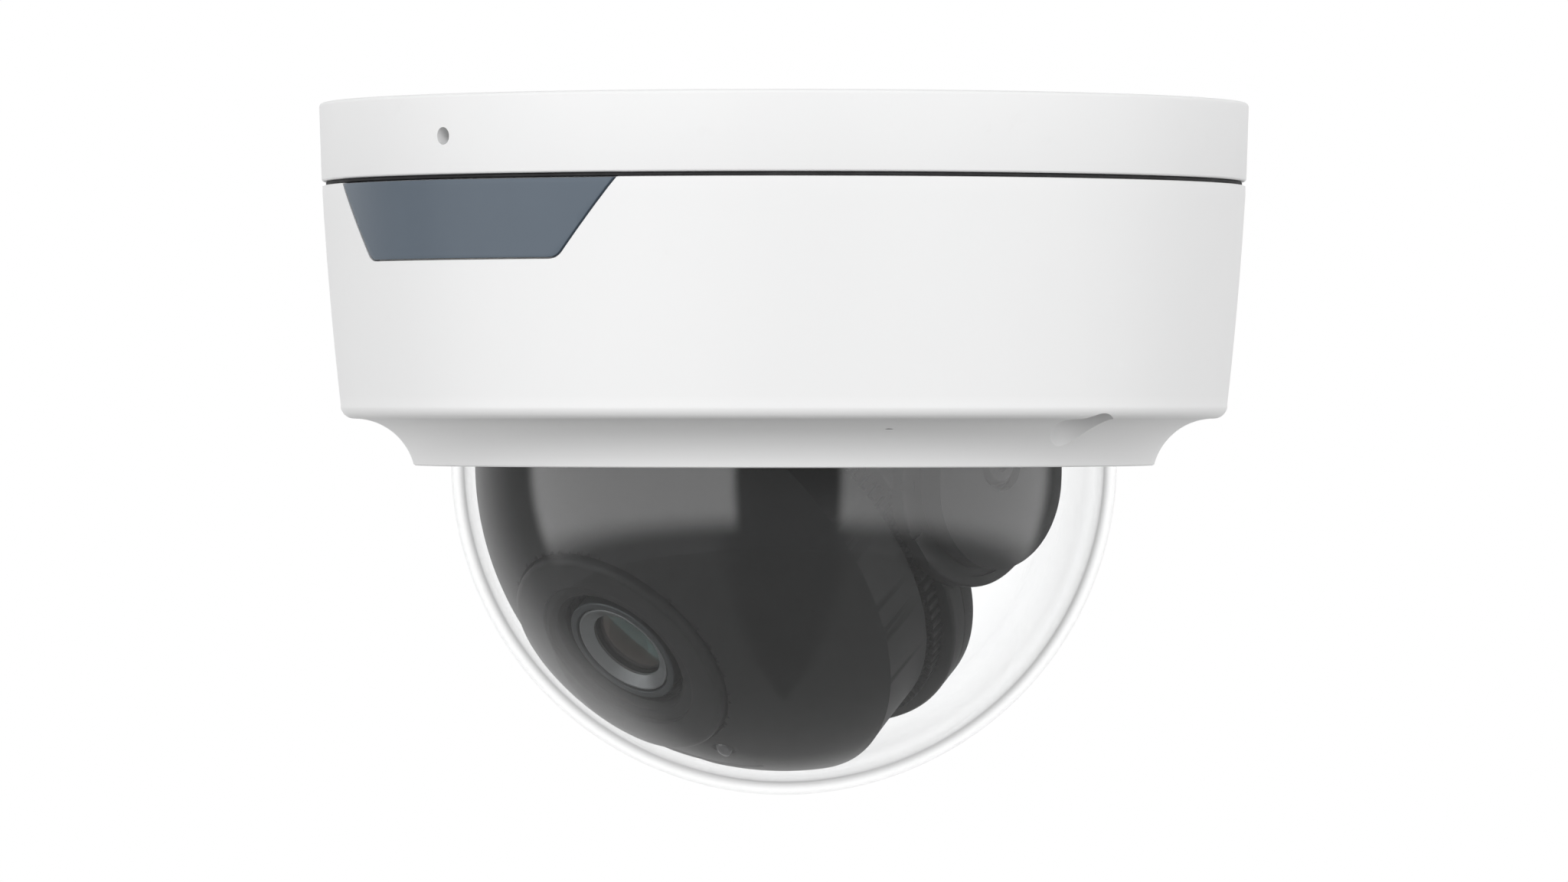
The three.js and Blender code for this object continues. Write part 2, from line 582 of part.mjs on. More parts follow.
// The badge's outline seen from the front, and a wedge of the cover's wall behind it.
const BADGE = { top: -9.75, bottom: -18.65, halfTop: 22.5, halfBottom: 15.3, corner: 2, thick: 0.8 };
function badgeWedge(margin, top, depth) {
  const { bottom, halfTop, halfBottom, corner } = BADGE;
  const low = bottom - margin;
  const lean = (halfTop - halfBottom) / (BADGE.top - bottom);
  const topHalf = halfTop + margin + lean * (top - BADGE.top);
  const lowHalf = halfBottom + margin;
  const shape = new THREE.Shape();
  shape.moveTo(-topHalf, top);
  shape.lineTo(-lowHalf - lean * corner, low + corner);
  shape.quadraticCurveTo(-lowHalf, low, -lowHalf + corner, low);
  shape.lineTo(lowHalf - corner, low);
  shape.quadraticCurveTo(lowHalf, low, lowHalf + lean * corner, low + corner);
  shape.lineTo(topHalf, top);
  shape.closePath();
  const settings = { depth: 40, bevelEnabled: false, curveSegments: 4 };
  const prism = new THREE.ExtrudeGeometry(shape, settings).rotateX(Math.PI / 2).translate(0, -20, 0);
  const inner = coverSide(4, depth);
  const outer = coverSide(4, depth > BADGE.thick ? -1 : 0).reverse();
  inner[0][1] = COVER_TOP + 0.2;
  outer.at(-1)[1] = COVER_TOP + 0.2;
  return solid(prism).intersect(solid(turned([...inner, ...outer])));
}
piece(cover, "badge_plate", badgeWedge(0, BADGE.top, BADGE.thick), slatePlastic);

const CLAMP = { screwR0: 45.6, bossTop: -35.9, angles: [90, 210, 330] };
function coverShell() {
  const envelope = [...coverOutside(), [0, LIP_Z], [0, COVER_TOP]];
  const tubes = [1, -1].map((side) => rod(5, -31, -39.5, 24).translate(side * PILLAR_R0, 0, 0));
  const bosses = CLAMP.angles.map((angle) => {
    return around(rod(2.2, CLAMP.bossTop, -39.5, 12), angle, CLAMP.screwR0);
  });
  const added = join(...tubes, ...bosses).intersect(solid(turned([...envelope].reverse())));
  const tools = [];
  for (const side of [1, -1]) {
    tools.push(rod(POCKET_R, POCKET_TOP, -45, 24).translate(side * PILLAR_R0, 0, 0));
    tools.push(rod(1.7, -30, -34, 12).translate(side * PILLAR_R0, 0, 0));
  }
  for (const angle of CLAMP.angles) {
    tools.push(around(rod(1.1, -35, -38, 8), angle, CLAMP.screwR0));
  }
  const shell = solid(turned([...coverOutside(), ...coverInside()])).add(added);
  return cut(shell, ...tools).subtract(badgeWedge(0.25, COVER_TOP + 1, BADGE.thick + GAP));
}
piece(cover, "cover_shell", coverShell(), whitePlastic);

const DOME_FLANGE = { r: 42, z0: -39.3, z1: -37.8 };
function domeBubble() {
  const outer = arc(0, DOME_Z, DOME_R, -90, 0, 8);
  const inner = arc(0, DOME_Z, DOME_R - DOME_WALL, 0, -90, 8);
  outer[0][0] = 0;
  inner.at(-1)[0] = 0;
  const { r, z0, z1 } = DOME_FLANGE;
  const flange = [[DOME_R, z0], [r, z0], [r, z1], [DOME_R - DOME_WALL, z1]];
  return turned([...outer, ...flange, ...inner]);
}
piece(cover, "dome_bubble", domeBubble(), clearPlastic);
piece(cover, "dome_gasket", tube(42, 39.8, -40.1, -39.45), blackRubber);

function clampRing() {
  const outline = [[38.9, -37.6], [43.3, -37.6], [43.3, -35.6], [47, -35.5], [47, -34.8], [38.9, -34.8]];
  const holes = CLAMP.angles.map((angle) => around(rod(1.1, -33, -39, 8), angle, CLAMP.screwR0));
  const notches = [1, -1].map((side) => block(8, 12, -33, -39).translate(side * (CLAMP.screwR0 + 1), 0, 0));
  return cut(turned(outline), ...holes, ...notches);
}
piece(cover, "dome_clamp_ring", clampRing(), blackPlastic);
CLAMP.angles.forEach((angle, i) => {
  const fixing = around(geometryOf(screw(1.7, 0.9, 0.8, -34.6, -37.6)), angle, CLAMP.screwR0);
  piece(cover, `clamp_screw_${i + 1}`, fixing, steel);
});
for (const [side, name] of [[1, "right"], [-1, "left"]]) {
  const captive = geometryOf(screw(2.8, 2.4, 1, POCKET_TOP - 0.1, -20));
  piece(cover, `cover_screw_${name}`, captive.translate(side * PILLAR_R0, 0, 0), steel);
}

export default camera;
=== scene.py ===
"""A ceiling dome camera: white base and cover, clear dome, and a black eyeball on a pan and tilt yoke."""
import json
import math

import bmesh
import bpy
from mathutils import Matrix, Vector


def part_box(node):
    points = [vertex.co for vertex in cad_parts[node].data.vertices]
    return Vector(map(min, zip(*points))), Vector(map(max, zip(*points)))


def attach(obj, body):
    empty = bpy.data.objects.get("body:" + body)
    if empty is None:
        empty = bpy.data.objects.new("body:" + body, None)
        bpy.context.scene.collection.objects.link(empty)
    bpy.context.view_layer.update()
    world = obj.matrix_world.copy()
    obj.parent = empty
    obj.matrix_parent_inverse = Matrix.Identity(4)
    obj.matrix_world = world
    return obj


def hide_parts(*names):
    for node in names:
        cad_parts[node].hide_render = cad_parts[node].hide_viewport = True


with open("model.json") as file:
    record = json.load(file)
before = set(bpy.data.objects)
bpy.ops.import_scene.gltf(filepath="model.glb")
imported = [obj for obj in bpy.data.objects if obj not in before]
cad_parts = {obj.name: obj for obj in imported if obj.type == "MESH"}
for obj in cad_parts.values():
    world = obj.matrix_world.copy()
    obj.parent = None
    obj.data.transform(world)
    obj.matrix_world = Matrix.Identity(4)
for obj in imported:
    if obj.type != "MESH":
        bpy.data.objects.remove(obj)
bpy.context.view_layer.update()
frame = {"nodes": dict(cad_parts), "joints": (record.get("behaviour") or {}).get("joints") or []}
joints = {joint["name"]: joint for joint in frame["joints"]}

# ---------------------------------------------------------------------------------------------
# Studio. The camera stands level with the joint between cover and dome, a little over a metre
# away on the front right corner. A white sweep closes the room behind the object, two broad
# softboxes stand either side of the camera, a key light hangs over it, and a pale floor lies below.
STAND_AZIMUTH = math.radians(45.3)
STAND_DISTANCE = 1.09
EYE_HEIGHT = -0.03446
LENS_MM = 213.2
FRAMING_SHIFT = -0.0276

toward_camera = Vector((math.sin(STAND_AZIMUTH), -math.cos(STAND_AZIMUTH), 0))
camera = bpy.data.objects.new("camera", bpy.data.cameras.new("camera"))
camera.location = toward_camera * STAND_DISTANCE + Vector((0, 0, EYE_HEIGHT))
camera.rotation_euler = (math.pi / 2, 0, STAND_AZIMUTH)
camera.data.lens = LENS_MM
camera.data.shift_y = FRAMING_SHIFT
camera.data.clip_start = 0.05
bpy.context.scene.collection.objects.link(camera)
bpy.context.scene.camera = camera
bpy.context.scene.view_settings.view_transform = "Standard"


class Value:
    """An output socket. Sums, products and comparisons of it add Math nodes to its tree."""

    def __init__(self, tree, socket):
        self.tree = tree
        self.socket = socket

    def math(self, operation, *terms):
        return self.tree.node("ShaderNodeMath", {"operation": operation}, dict(enumerate(terms)))

    def __add__(self, other):
        return self.math("ADD", self, other)

    def __sub__(self, other):
        return self.math("SUBTRACT", self, other)

    def __mul__(self, other):
        return self.math("MULTIPLY", self, other)

    def __truediv__(self, other):
        return self.math("DIVIDE", self, other)

    def __radd__(self, other):
        return self.math("ADD", other, self)

    def __rsub__(self, other):
        return self.math("SUBTRACT", other, self)

    def __rmul__(self, other):
        return self.math("MULTIPLY", other, self)

    def __abs__(self):
        return self.math("ABSOLUTE", self)

    def step(self, start, end):
        """0 below start and 1 above end, with a soft rise between them."""
        spread = {"interpolation_type": "SMOOTHSTEP"}
        sockets = {"Value": self, "From Min": start, "From Max": end}
        return self.tree.node("ShaderNodeMapRange", spread, sockets)


class Tree:
    """A shader node tree that is written as expressions."""

    def __init__(self, nodes_and_links):
        self.tree = nodes_and_links
        self.tree.nodes.clear()

    def node(self, kind, settings=None, sockets=None, output=0):
        made = self.tree.nodes.new(kind)
        for name, value in (settings or {}).items():
            if name == "stops":
                for index, (position, colour) in enumerate(value):
                    if index >= len(made.color_ramp.elements):
                        made.color_ramp.elements.new(position)
                    made.color_ramp.elements[index].position = position
                    made.color_ramp.elements[index].color = (*colour, 1)
            else:
                setattr(made, name, value)
        for name, value in (sockets or {}).items():
            if isinstance(value, Value):
                self.tree.links.new(value.socket, made.inputs[name])
            elif value is not None:
                made.inputs[name].default_value = value
        return Value(self, made.outputs[output]) if made.outputs else None

    def place(self):
        """A point's own coordinates on the piece, in metres."""
        return self.node("ShaderNodeTexCoord", output="Object")

    def noise(self, size_mm, detail=3.0, roughness=0.55, stretch=(1, 1, 1)):
        """A cloudy pattern from 0 to 1, whose patches are about size_mm across."""
        turned = self.node("ShaderNodeMapping", None, {"Vector": self.place(), "Scale": stretch})
        sockets = {"Vector": turned, "Scale": 1000 / size_mm, "Detail": detail, "Roughness": roughness}
        return self.node("ShaderNodeTexNoise", None, sockets)

    def blend(self, share, first, second):
        """A colour between two, by a share from 0 to 1."""
        sockets = {0: share, 6: first, 7: second}
        return self.node("ShaderNodeMix", {"data_type": "RGBA"}, sockets, output=2)

    def bump(self, height, depth_mm, strength=1.0):
        """A normal from a height between 0 and 1 that stands depth_mm high."""
        sockets = {"Height": height, "Distance": depth_mm / 1000, "Strength": strength}
        return self.node("ShaderNodeBump", None, sockets)


def rgb(red, green, blue):
    return (red, green, blue, 1)


world = bpy.data.worlds.new("studio")
world.use_nodes = True
bpy.context.scene.world = world
SOFTBOX_LEFT = 1.54
SOFTBOX_RIGHT = 1.38
SWEEP = 1.0
BACKLIGHT = 0.35
GAP_BETWEEN = 0.17
UNDER = 0.3
OVERHEAD = 0.3
KEY = 10.5

# Where each part of the room starts and ends, in degrees round from the camera or up from level.
BOX_NEAR = {"left": 17, "right": 20}
BOX_FAR = {"left": 98, "right": 104}
BOX_FOOT = (-26, -15)
BOX_TOP = (38, 50)
SWEEP_SIDE = (105, 140)
SWEEP_FOOT = (-60, -40)
SWEEP_TOP = (35, 60)
FLOOR_FADE = (-30, -12)
FLOOR_SIDE = (17, 30)
CEILING_FADE = (35, 70)
NARROW_SWEEP = (0.86, 0.972)


def studio_light(tree, through):
    """How bright the room is in each direction, with angles measured from the camera's side.

    Light that comes through the dome finds the sweep narrower, which draws the dome's rim."""
    heading = tree.node("ShaderNodeTexCoord", output="Generated")

    def part(axis):
        dot = {"operation": "DOT_PRODUCT"}
        return tree.node("ShaderNodeVectorMath", dot, {0: heading, 1: axis}, output="Value")

    across = Vector((math.cos(STAND_AZIMUTH), math.sin(STAND_AZIMUTH), 0))
    turn = part(across).math("ARCTAN2", part(across), part(toward_camera))
    side = abs(turn) * (180 / math.pi)
    rise = part((0, 0, 1)).math("ARCSINE", part((0, 0, 1))) * (180 / math.pi)
    right = turn.step(0, 0.01)
    near_edge = BOX_NEAR["left"] + right * (BOX_NEAR["right"] - BOX_NEAR["left"])
    far_edge = BOX_FAR["left"] + right * (BOX_FAR["right"] - BOX_FAR["left"])
    box = (side - near_edge).step(-2.5, 2.5) * (1 - (side - far_edge).step(-3, 3))
    box = box * rise.step(*BOX_FOOT) * (1 - rise.step(*BOX_TOP))
    wide = side.step(*SWEEP_SIDE) * (1 - rise.step(*SWEEP_TOP)) * rise.step(*SWEEP_FOOT)
    narrow = part(-toward_camera).step(*NARROW_SWEEP)
    behind = wide * (1 - through) + narrow * through
    low = 1 - rise.step(*FLOOR_FADE)
    room = GAP_BETWEEN + (SWEEP - GAP_BETWEEN + BACKLIGHT * through) * behind
    room = room + (OVERHEAD - GAP_BETWEEN) * rise.step(*CEILING_FADE) * (1 - behind)
    room = room + (UNDER - GAP_BETWEEN) * low * (1 - behind) * side.step(*FLOOR_SIDE)
    return room * (1 - box) + box * (SOFTBOX_LEFT + (SOFTBOX_RIGHT - SOFTBOX_LEFT) * right)


THROUGH_DOME = 0.12
studio = Tree(world.node_tree)
seen = studio.node("ShaderNodeLightPath", output="Is Camera Ray")
through = studio.node("ShaderNodeLightPath", output="Is Transmission Ray")
plain_white = seen.math("MAXIMUM", seen, through * THROUGH_DOME)
brightness = studio_light(studio, through) * (1 - plain_white) + plain_white * SWEEP
backdrop = studio.node("ShaderNodeBackground", None, {"Color": rgb(1, 1, 1), "Strength": brightness})
studio.node("ShaderNodeOutputWorld", None, {"Surface": backdrop})

key = bpy.data.objects.new("key_softbox", bpy.data.lights.new("key_softbox", "AREA"))
key.data.shape = "RECTANGLE"
key.data.size = 0.5
key.data.size_y = 0.7
key.data.energy = KEY
key.location = toward_camera * 1.6 + Vector((0, 0, 0.75))
key.rotation_euler = (Vector((0, 0, -0.03)) - key.location).to_track_quat("-Z", "Y").to_euler()
key.visible_camera = False
key.visible_glossy = False
key.visible_transmission = False
bpy.context.scene.collection.objects.link(key)

FLOOR_RADIUS = 2.5
FLOOR_DROP = 1.5
FLOOR_SIDES = 96


def look(name, recipe, *given):
    """A material whose recipe returns the sockets of its Principled shader."""
    material = bpy.data.materials.new(name)
    material.use_nodes = True
    tree = Tree(material.node_tree)
    shader = tree.node("ShaderNodeBsdfPrincipled", None, recipe(tree, *given))
    tree.node("ShaderNodeOutputMaterial", None, {"Surface": shader})
    return material


def pale_floor(tree):
    cloud = tree.noise(180, 2)
    return {
        "Base Color": tree.blend(cloud, rgb(0.36, 0.36, 0.355), rgb(0.41, 0.41, 0.405)),
        "Roughness": 0.7 + cloud * 0.15,
        "Specular IOR Level": 0.2,
    }


def disc(radius, sides):
    corners = [2 * math.pi * i / sides for i in range(sides)]
    return [(radius * math.cos(a), radius * math.sin(a), 0) for a in corners]


floor_mesh = bpy.data.meshes.new("floor")
floor_mesh.from_pydata(disc(FLOOR_RADIUS, FLOOR_SIDES), [], [list(range(FLOOR_SIDES))])
floor_mesh.transform(Matrix.Translation((0, 0, -FLOOR_DROP)))
floor = bpy.data.objects.new("floor", floor_mesh)
bpy.context.scene.collection.objects.link(floor)
floor.data.materials.append(look("pale_floor", pale_floor))
floor.visible_glossy = False

# ---------------------------------------------------------------------------------------------
# Base casting. A shallow round aluminium cup, powder coated white, that three screws hold to the
# ceiling. Two pillars inside it take the cover's screws, and a small hole in its rim lets sound
# through to the microphone.
FINE = 192
BASE_EDGE = 0.45
RIM_DRAFT = 0.3
BACK_WALL = 2.6
CUP_R = 50.4
PILLAR_R0 = 48.1
PILLAR_R = 2
CORNER_R0 = 43.6
CABLE_HOLE_R = 6.2
CABLE_ANGLE = 45
WALL_SCREW_R = 2.25
WALL_SCREW_ANGLES = (135, 225, 315)
MIC_Z = -4.8
MIC_HOLE_R = 1.0
BOARD_SCREWS = {"count": 3, "start": 30, "radius": 39.8}
PAN_SCREWS = {"count": 2, "start": 60, "radius": 26}


def corners(node):
    """A node's lowest and highest corners in millimetres."""
    low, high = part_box(node)
    return low * 1000, high * 1000


def arc(r0, z0, radius, start, end, steps=24):
    """Points of an arc about (r0, z0), from one angle to another in degrees."""
    angles = [math.radians(start + (end - start) * i / steps) for i in range(steps + 1)]
    return [(r0 + radius * math.cos(a), z0 + radius * math.sin(a)) for a in angles]


def rounded(outline, steps=5):
    """An outline whose corners with a third number are rounded to that radius."""
    points = []
    for index, corner in enumerate(outline):
        if len(corner) == 2:
            points.append(corner)
            continue
        here = Vector(corner[:2])
        back = (Vector(outline[index - 1][:2]) - here).normalized()
        on = (Vector(outline[(index + 1) % len(outline)][:2]) - here).normalized()
        half = back.angle(on) / 2
        centre = here + (back + on).normalized() * corner[2] / math.sin(half)
        first = here + back * corner[2] / math.tan(half) - centre
        last = here + on * corner[2] / math.tan(half) - centre
        sweep = math.pi - 2 * half
        for i in range(steps + 1):
            share = i / steps
            spoke = first * math.sin((1 - share) * sweep) + last * math.sin(share * sweep)
            points.append(tuple(centre + spoke / math.sin(sweep)))
    return points


def form(name, points, faces):
    """A closed mesh object, still in millimetres, with its doubles merged and faces outward."""
    mesh = bpy.data.meshes.new(name)
    mesh.from_pydata(points, [], faces)
    work = bmesh.new()
    work.from_mesh(mesh)
    bmesh.ops.remove_doubles(work, verts=work.verts, dist=1e-5)
    bmesh.ops.recalc_face_normals(work, faces=work.faces)
    work.to_mesh(mesh)
    work.free()
    made = bpy.data.objects.new(name, mesh)
    bpy.context.scene.collection.objects.link(made)
    return made


def turned(name, outline, sides=FINE):
    """A body turned about Z from a closed outline of (radius, height)."""
    points = []
    rings = []
    for radius, height in outline:
        count = sides if radius > 1e-6 else 1
        rings.append([len(points) + i % count for i in range(sides)])
        for i in range(count):
            a = 2 * math.pi * i / sides
            points.append((radius * math.cos(a), radius * math.sin(a), height))
    faces = []
    for ring, above in zip(rings, rings[1:] + rings[:1]):
        for i in range(sides):
            j = (i + 1) % sides
            face = list(dict.fromkeys((ring[i], ring[j], above[j], above[i])))
            if len(face) > 2:
                faces.append(face)
    return form(name, points, faces)


def rod(radius, low, high, sides=48, edge=0.0):
    """A round bar along Z, with its two rims rounded."""
    low, high = min(low, high), max(low, high)
    soft = (edge,) if edge else ()
    outline = [(0, low), (radius, low, *soft), (radius, high, *soft), (0, high)]
    return turned("rod", rounded(outline), sides)


def slab(outline, low, high):
    """A flat outline of (x, y) drawn up along Z."""
    count = len(outline)
    points = [(x, y, z) for z in (low, high) for x, y in outline]
    sides = [[i, (i + 1) % count, (i + 1) % count + count, i + count] for i in range(count)]
    return form("slab", points, [list(range(count)), list(range(count, 2 * count)), *sides])


def oblong(width, depth, low, high, corner=0.0):
    """A block along Z, with its four upright edges rounded."""
    soft = (corner,) if corner else ()
    signs = [(-1, -1), (1, -1), (1, 1), (-1, 1)]
    return slab(rounded([(x * width / 2, y * depth / 2, *soft) for x, y in signs]), low, high)


def moved(piece, *matrices):
    for matrix in matrices:
        piece.data.transform(matrix)
        if matrix.determinant() < 0:
            piece.data.flip_normals()
    return piece


def shift(x, y, z):
    return Matrix.Translation((x, y, z))


def spin(degrees, axis="Z"):
    return Matrix.Rotation(math.radians(degrees), 4, axis)


def around(piece, degrees, radius):
    return moved(piece, shift(radius, 0, 0), spin(degrees))


def angles_of(ring):
    """The angles at which the pieces of a ring stand."""
    return [ring["start"] + i * 360 / ring["count"] for i in range(ring["count"])]


def applied(piece):
    """Turns the piece with its modifiers into a plain mesh."""
    bpy.context.view_layer.update()
    shown = piece.evaluated_get(bpy.context.evaluated_depsgraph_get())
    plain = bpy.data.meshes.new_from_object(shown)
    piece.modifiers.clear()
    piece.data = plain
    return piece


def carved(piece, operation, *tools):
    """Joins the tools to the piece, cuts them out of it, or keeps what they share."""
    for tool in tools:
        step = piece.modifiers.new("carve", "BOOLEAN")
        step.solver = "EXACT"
        step.operation = operation
        step.object = tool
    applied(piece)
    for tool in tools:
        bpy.data.objects.remove(tool)
    return piece


def softened(piece, width, segments=2, angle=32):
    """Rounds every edge that is sharper than the angle."""
    bevel = piece.modifiers.new("soften", "BEVEL")
    bevel.width = width
    bevel.segments = segments
    bevel.limit_method = "ANGLE"
    bevel.angle_limit = math.radians(angle)
    bevel.harden_normals = False
    return applied(piece)


def fitted(piece, name, body, material, slot, *nodes, place=None):
    """Brings a piece to metres and its place, hangs it on its body, and hides the parts that it stands for.
    """
    if place:
        moved(piece, place)
    moved(piece, Matrix.Diagonal((0.001, 0.001, 0.001, 1)))
    piece.name = name
    piece.data.name = name
    piece.data.shade_smooth()
    piece.data.set_sharp_from_angle(angle=math.radians(28))
    piece.data.materials.clear()
    piece.data.materials.append(material)
    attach(piece, body)
    if nodes:
        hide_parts(*nodes)
    return piece


def powder_coat(tree, tone, grain_mm):
    """White paint: a fine orange peel, faint clouding, and a little dust in scattered patches."""
    cloud = tree.noise(14, 2)
    peel = tree.noise(grain_mm, 2, 0.5)
    speck = tree.noise(0.09, 1)
    clean = tree.blend(cloud, rgb(tone, tone, tone), rgb(tone * 0.975, tone * 0.977, tone * 0.98))
    dust = tree.noise(3.2, 4).step(0.62, 0.8) * 0.05
    return {
        "Base Color": tree.blend(dust, clean, rgb(0.52, 0.5, 0.47)),
        "Roughness": 0.4 + cloud * 0.08 + peel * 0.1,
        "IOR": 1.5,
        "Normal": tree.bump(peel * 0.8 + speck * 0.2, 0.012, 0.55),
    }


white_paint = look("white_paint", powder_coat, 0.86, 0.55)

base_low, base_high = corners("base_casting")
BASE_R = base_high.x
BASE_Z = -9.15
cup = turned("base_casting", rounded([
    (0, base_high.z),
    (29.6, base_high.z),
    (29.75, base_high.z - 0.25),
    (30.45, base_high.z - 0.25),
    (30.6, base_high.z),
    (BASE_R, base_high.z, BASE_EDGE),
    (BASE_R - RIM_DRAFT, BASE_Z, 0.3),
    (CUP_R, BASE_Z, 0.2),
    (CUP_R, -BACK_WALL, 1.2),
    (0, -BACK_WALL),
]), 256)
pillars = []
bores = []
for side in (0, 180):
    pillars.append(around(rod(PILLAR_R, -BACK_WALL + 0.5, base_low.z, 40, 0.25), side, PILLAR_R0))
    bores.append(around(rod(1.4, -19, base_low.z - 1, 32), side, PILLAR_R0))
for ring in (BOARD_SCREWS, PAN_SCREWS):
    for angle in angles_of(ring):
        pillars.append(around(rod(2.2, -BACK_WALL + 0.5, -4.5, 40, 0.2), angle, ring["radius"]))
        bores.append(around(rod(1.1, -1.2, -6, 24), angle, ring["radius"]))
bores.append(around(rod(CABLE_HOLE_R, 1, -6, 72), CABLE_ANGLE, CORNER_R0))
for angle in WALL_SCREW_ANGLES:
    bores.append(around(rod(WALL_SCREW_R, 1, -6, 40), angle, CORNER_R0))
bores.append(moved(rod(MIC_HOLE_R, BASE_R + 1, 45, 40), spin(90, "X"), shift(0, 0, MIC_Z)))
bores.append(moved(oblong(26, 14, -0.25, 1, 1.5), shift(0, 15, 0)))
carved(cup, "UNION", *pillars)
carved(cup, "DIFFERENCE", *bores)
fitted(cup, "base_casting_fine", "base", white_paint, "white_paint", "base_casting")

# ---------------------------------------------------------------------------------------------
# Rubber pieces of the base: the gasket that closes the seam, the grommet that the network cable
# comes through, and the boot that seals the microphone to its hole.


def soft_rubber(tree):
    """Matte black rubber with a moulded grain and a grey bloom."""
    bloom = tree.noise(4, 3).step(0.4, 0.8)
    grain = tree.noise(0.16, 2)
    return {
        "Base Color": tree.blend(bloom, rgb(0.017, 0.017, 0.018), rgb(0.035, 0.035, 0.036)),
        "Roughness": 0.72 + grain * 0.16,
        "Normal": tree.bump(grain, 0.02, 0.6),
    }


black_rubber = look("black_rubber", soft_rubber)


def washer(name, outer, inner, low, high, edge, sides=FINE):
    """A flat ring with rounded edges."""
    outline = [(inner, low, edge), (outer, low, edge), (outer, high, edge), (inner, high, edge)]
    return turned(name, rounded(outline), sides)


gasket_low, gasket_high = corners("seam_gasket")
gasket = washer("seam", gasket_high.x, 51, gasket_low.z, gasket_high.z, 0.18)
fitted(gasket, "seam_gasket_fine", "base", black_rubber, "black_rubber", "seam_gasket")

bush_outline = [
    (3.4, -0.1, 0.4), (5.9, -0.1, 0.3), (5.9, -2.9), (6.7, -2.9, 0.2), (6.7, -4.1, 0.3), (3.4, -4.1, 0.3)
]
grommet = around(turned("grommet", rounded(bush_outline), 72), CABLE_ANGLE, CORNER_R0)
fitted(grommet, "cable_grommet_fine", "base", black_rubber, "black_rubber", "cable_grommet")

boot_low, boot_high = corners("mic_boot")
boot = washer("boot", 1.95, 1.3, -boot_high.y, -boot_low.y, 0.12, 48)
moved(boot, spin(90, "X"), shift(0, 0, MIC_Z))
fitted(boot, "mic_boot_fine", "base", black_rubber, "black_rubber", "mic_boot")


def plated(tree, tone, warmth, smooth):
    """Bright plated metal with faint brushing and dull patches."""
    patch = tree.noise(5, 3)
    line = tree.noise(0.35, 2, 0.5, (1, 1, 12))
    base = rgb(tone * (1 + warmth), tone, tone * (1 - warmth))
    dull = rgb(tone * 0.78, tone * 0.77, tone * 0.76)
    return {
        "Base Color": tree.blend(patch.step(0.5, 0.75) * 0.6, base, dull),
        "Metallic": 0.96 + line * 0.04,
        "Roughness": smooth + line * 0.14 + patch * 0.06,
        "Normal": tree.bump(line, 0.006, 0.5),
    }


silver_metal = look("silver_metal", plated, 0.6, 0.01, 0.26)
steel = look("steel", plated, 0.42, 0.02, 0.3)

capsule_low, capsule_high = corners("mic_capsule")
capsule = rod(1.1, -capsule_high.y, -capsule_low.y, 48, 0.15)
capsule = carved(capsule, "DIFFERENCE", rod(0.35, -capsule_low.y - 0.3, -capsule_low.y + 1, 24))
moved(capsule, spin(90, "X"), shift(0, 0, MIC_Z))
fitted(capsule, "mic_capsule_fine", "base", silver_metal, "silver_metal", "mic_capsule")

# ---------------------------------------------------------------------------------------------
# Main board. A round green circuit board on the casting's standoffs, notched for the pillars, wall
# screws and cable, with the processor on top against a heat pad, and rows of small parts below.
BOARD_SMALL_PARTS = 26


def solder_mask(tree):
    """Green lacquer over copper tracks that run in short straight lengths."""
    flat = tree.place()
    brick = {"offset": 0.37, "squash": 1.6, "squash_frequency": 3}
    sockets = {"Vector": flat, "Scale": 260.0, "Mortar Size": 0.09, "Mortar Smooth": 0.2, "Bias": -0.2}
    track = tree.node("ShaderNodeTexBrick", brick, sockets, output="Fac")
    spots = {"Vector": flat, "Scale": 300.0}
    pad = tree.node("ShaderNodeTexVoronoi", {"feature": "F1"}, spots, output="Distance")
    via = 1 - pad.step(0.12, 0.18)
    mottle = tree.noise(2.5, 3)
    green = tree.blend(mottle, rgb(0.012, 0.1, 0.038), rgb(0.02, 0.15, 0.055))
    tracked = tree.blend(track * 0.7, green, rgb(0.045, 0.23, 0.08))
    return {
        "Base Color": tree.blend(via, tracked, rgb(0.75, 0.62, 0.35)),
        "Metallic": via * 0.8,
        "Roughness": 0.32 + mottle * 0.12,
        "Coat Weight": 0.3,
        "Normal": tree.bump(track * 0.6 + via * 0.4, 0.03, 0.5),
    }


circuit_board = look("circuit_board", solder_mask)


def moulded_black(tree, tone, rough, grain_mm, depth_mm, shine=0.5):
    """Black moulding: an even spark texture, faint flow clouds and a few handling marks."""
    grain = tree.noise(grain_mm, 2, 0.6)
    cloud = tree.noise(9, 2)
    rub = tree.noise(2.2, 4, 0.6, (1, 1, 3)).step(0.66, 0.78)
    deep = rgb(tone * 0.9, tone * 0.9, tone * 0.92)
    pale = rgb(tone * 1.2, tone * 1.2, tone * 1.25)
    return {
        "Base Color": tree.blend(cloud, deep, pale),
        "Roughness": rough + cloud * 0.06 + grain * 0.06 - rub * 0.05,
        "Specular IOR Level": shine,
        "Normal": tree.bump(grain, depth_mm, 0.5),
    }


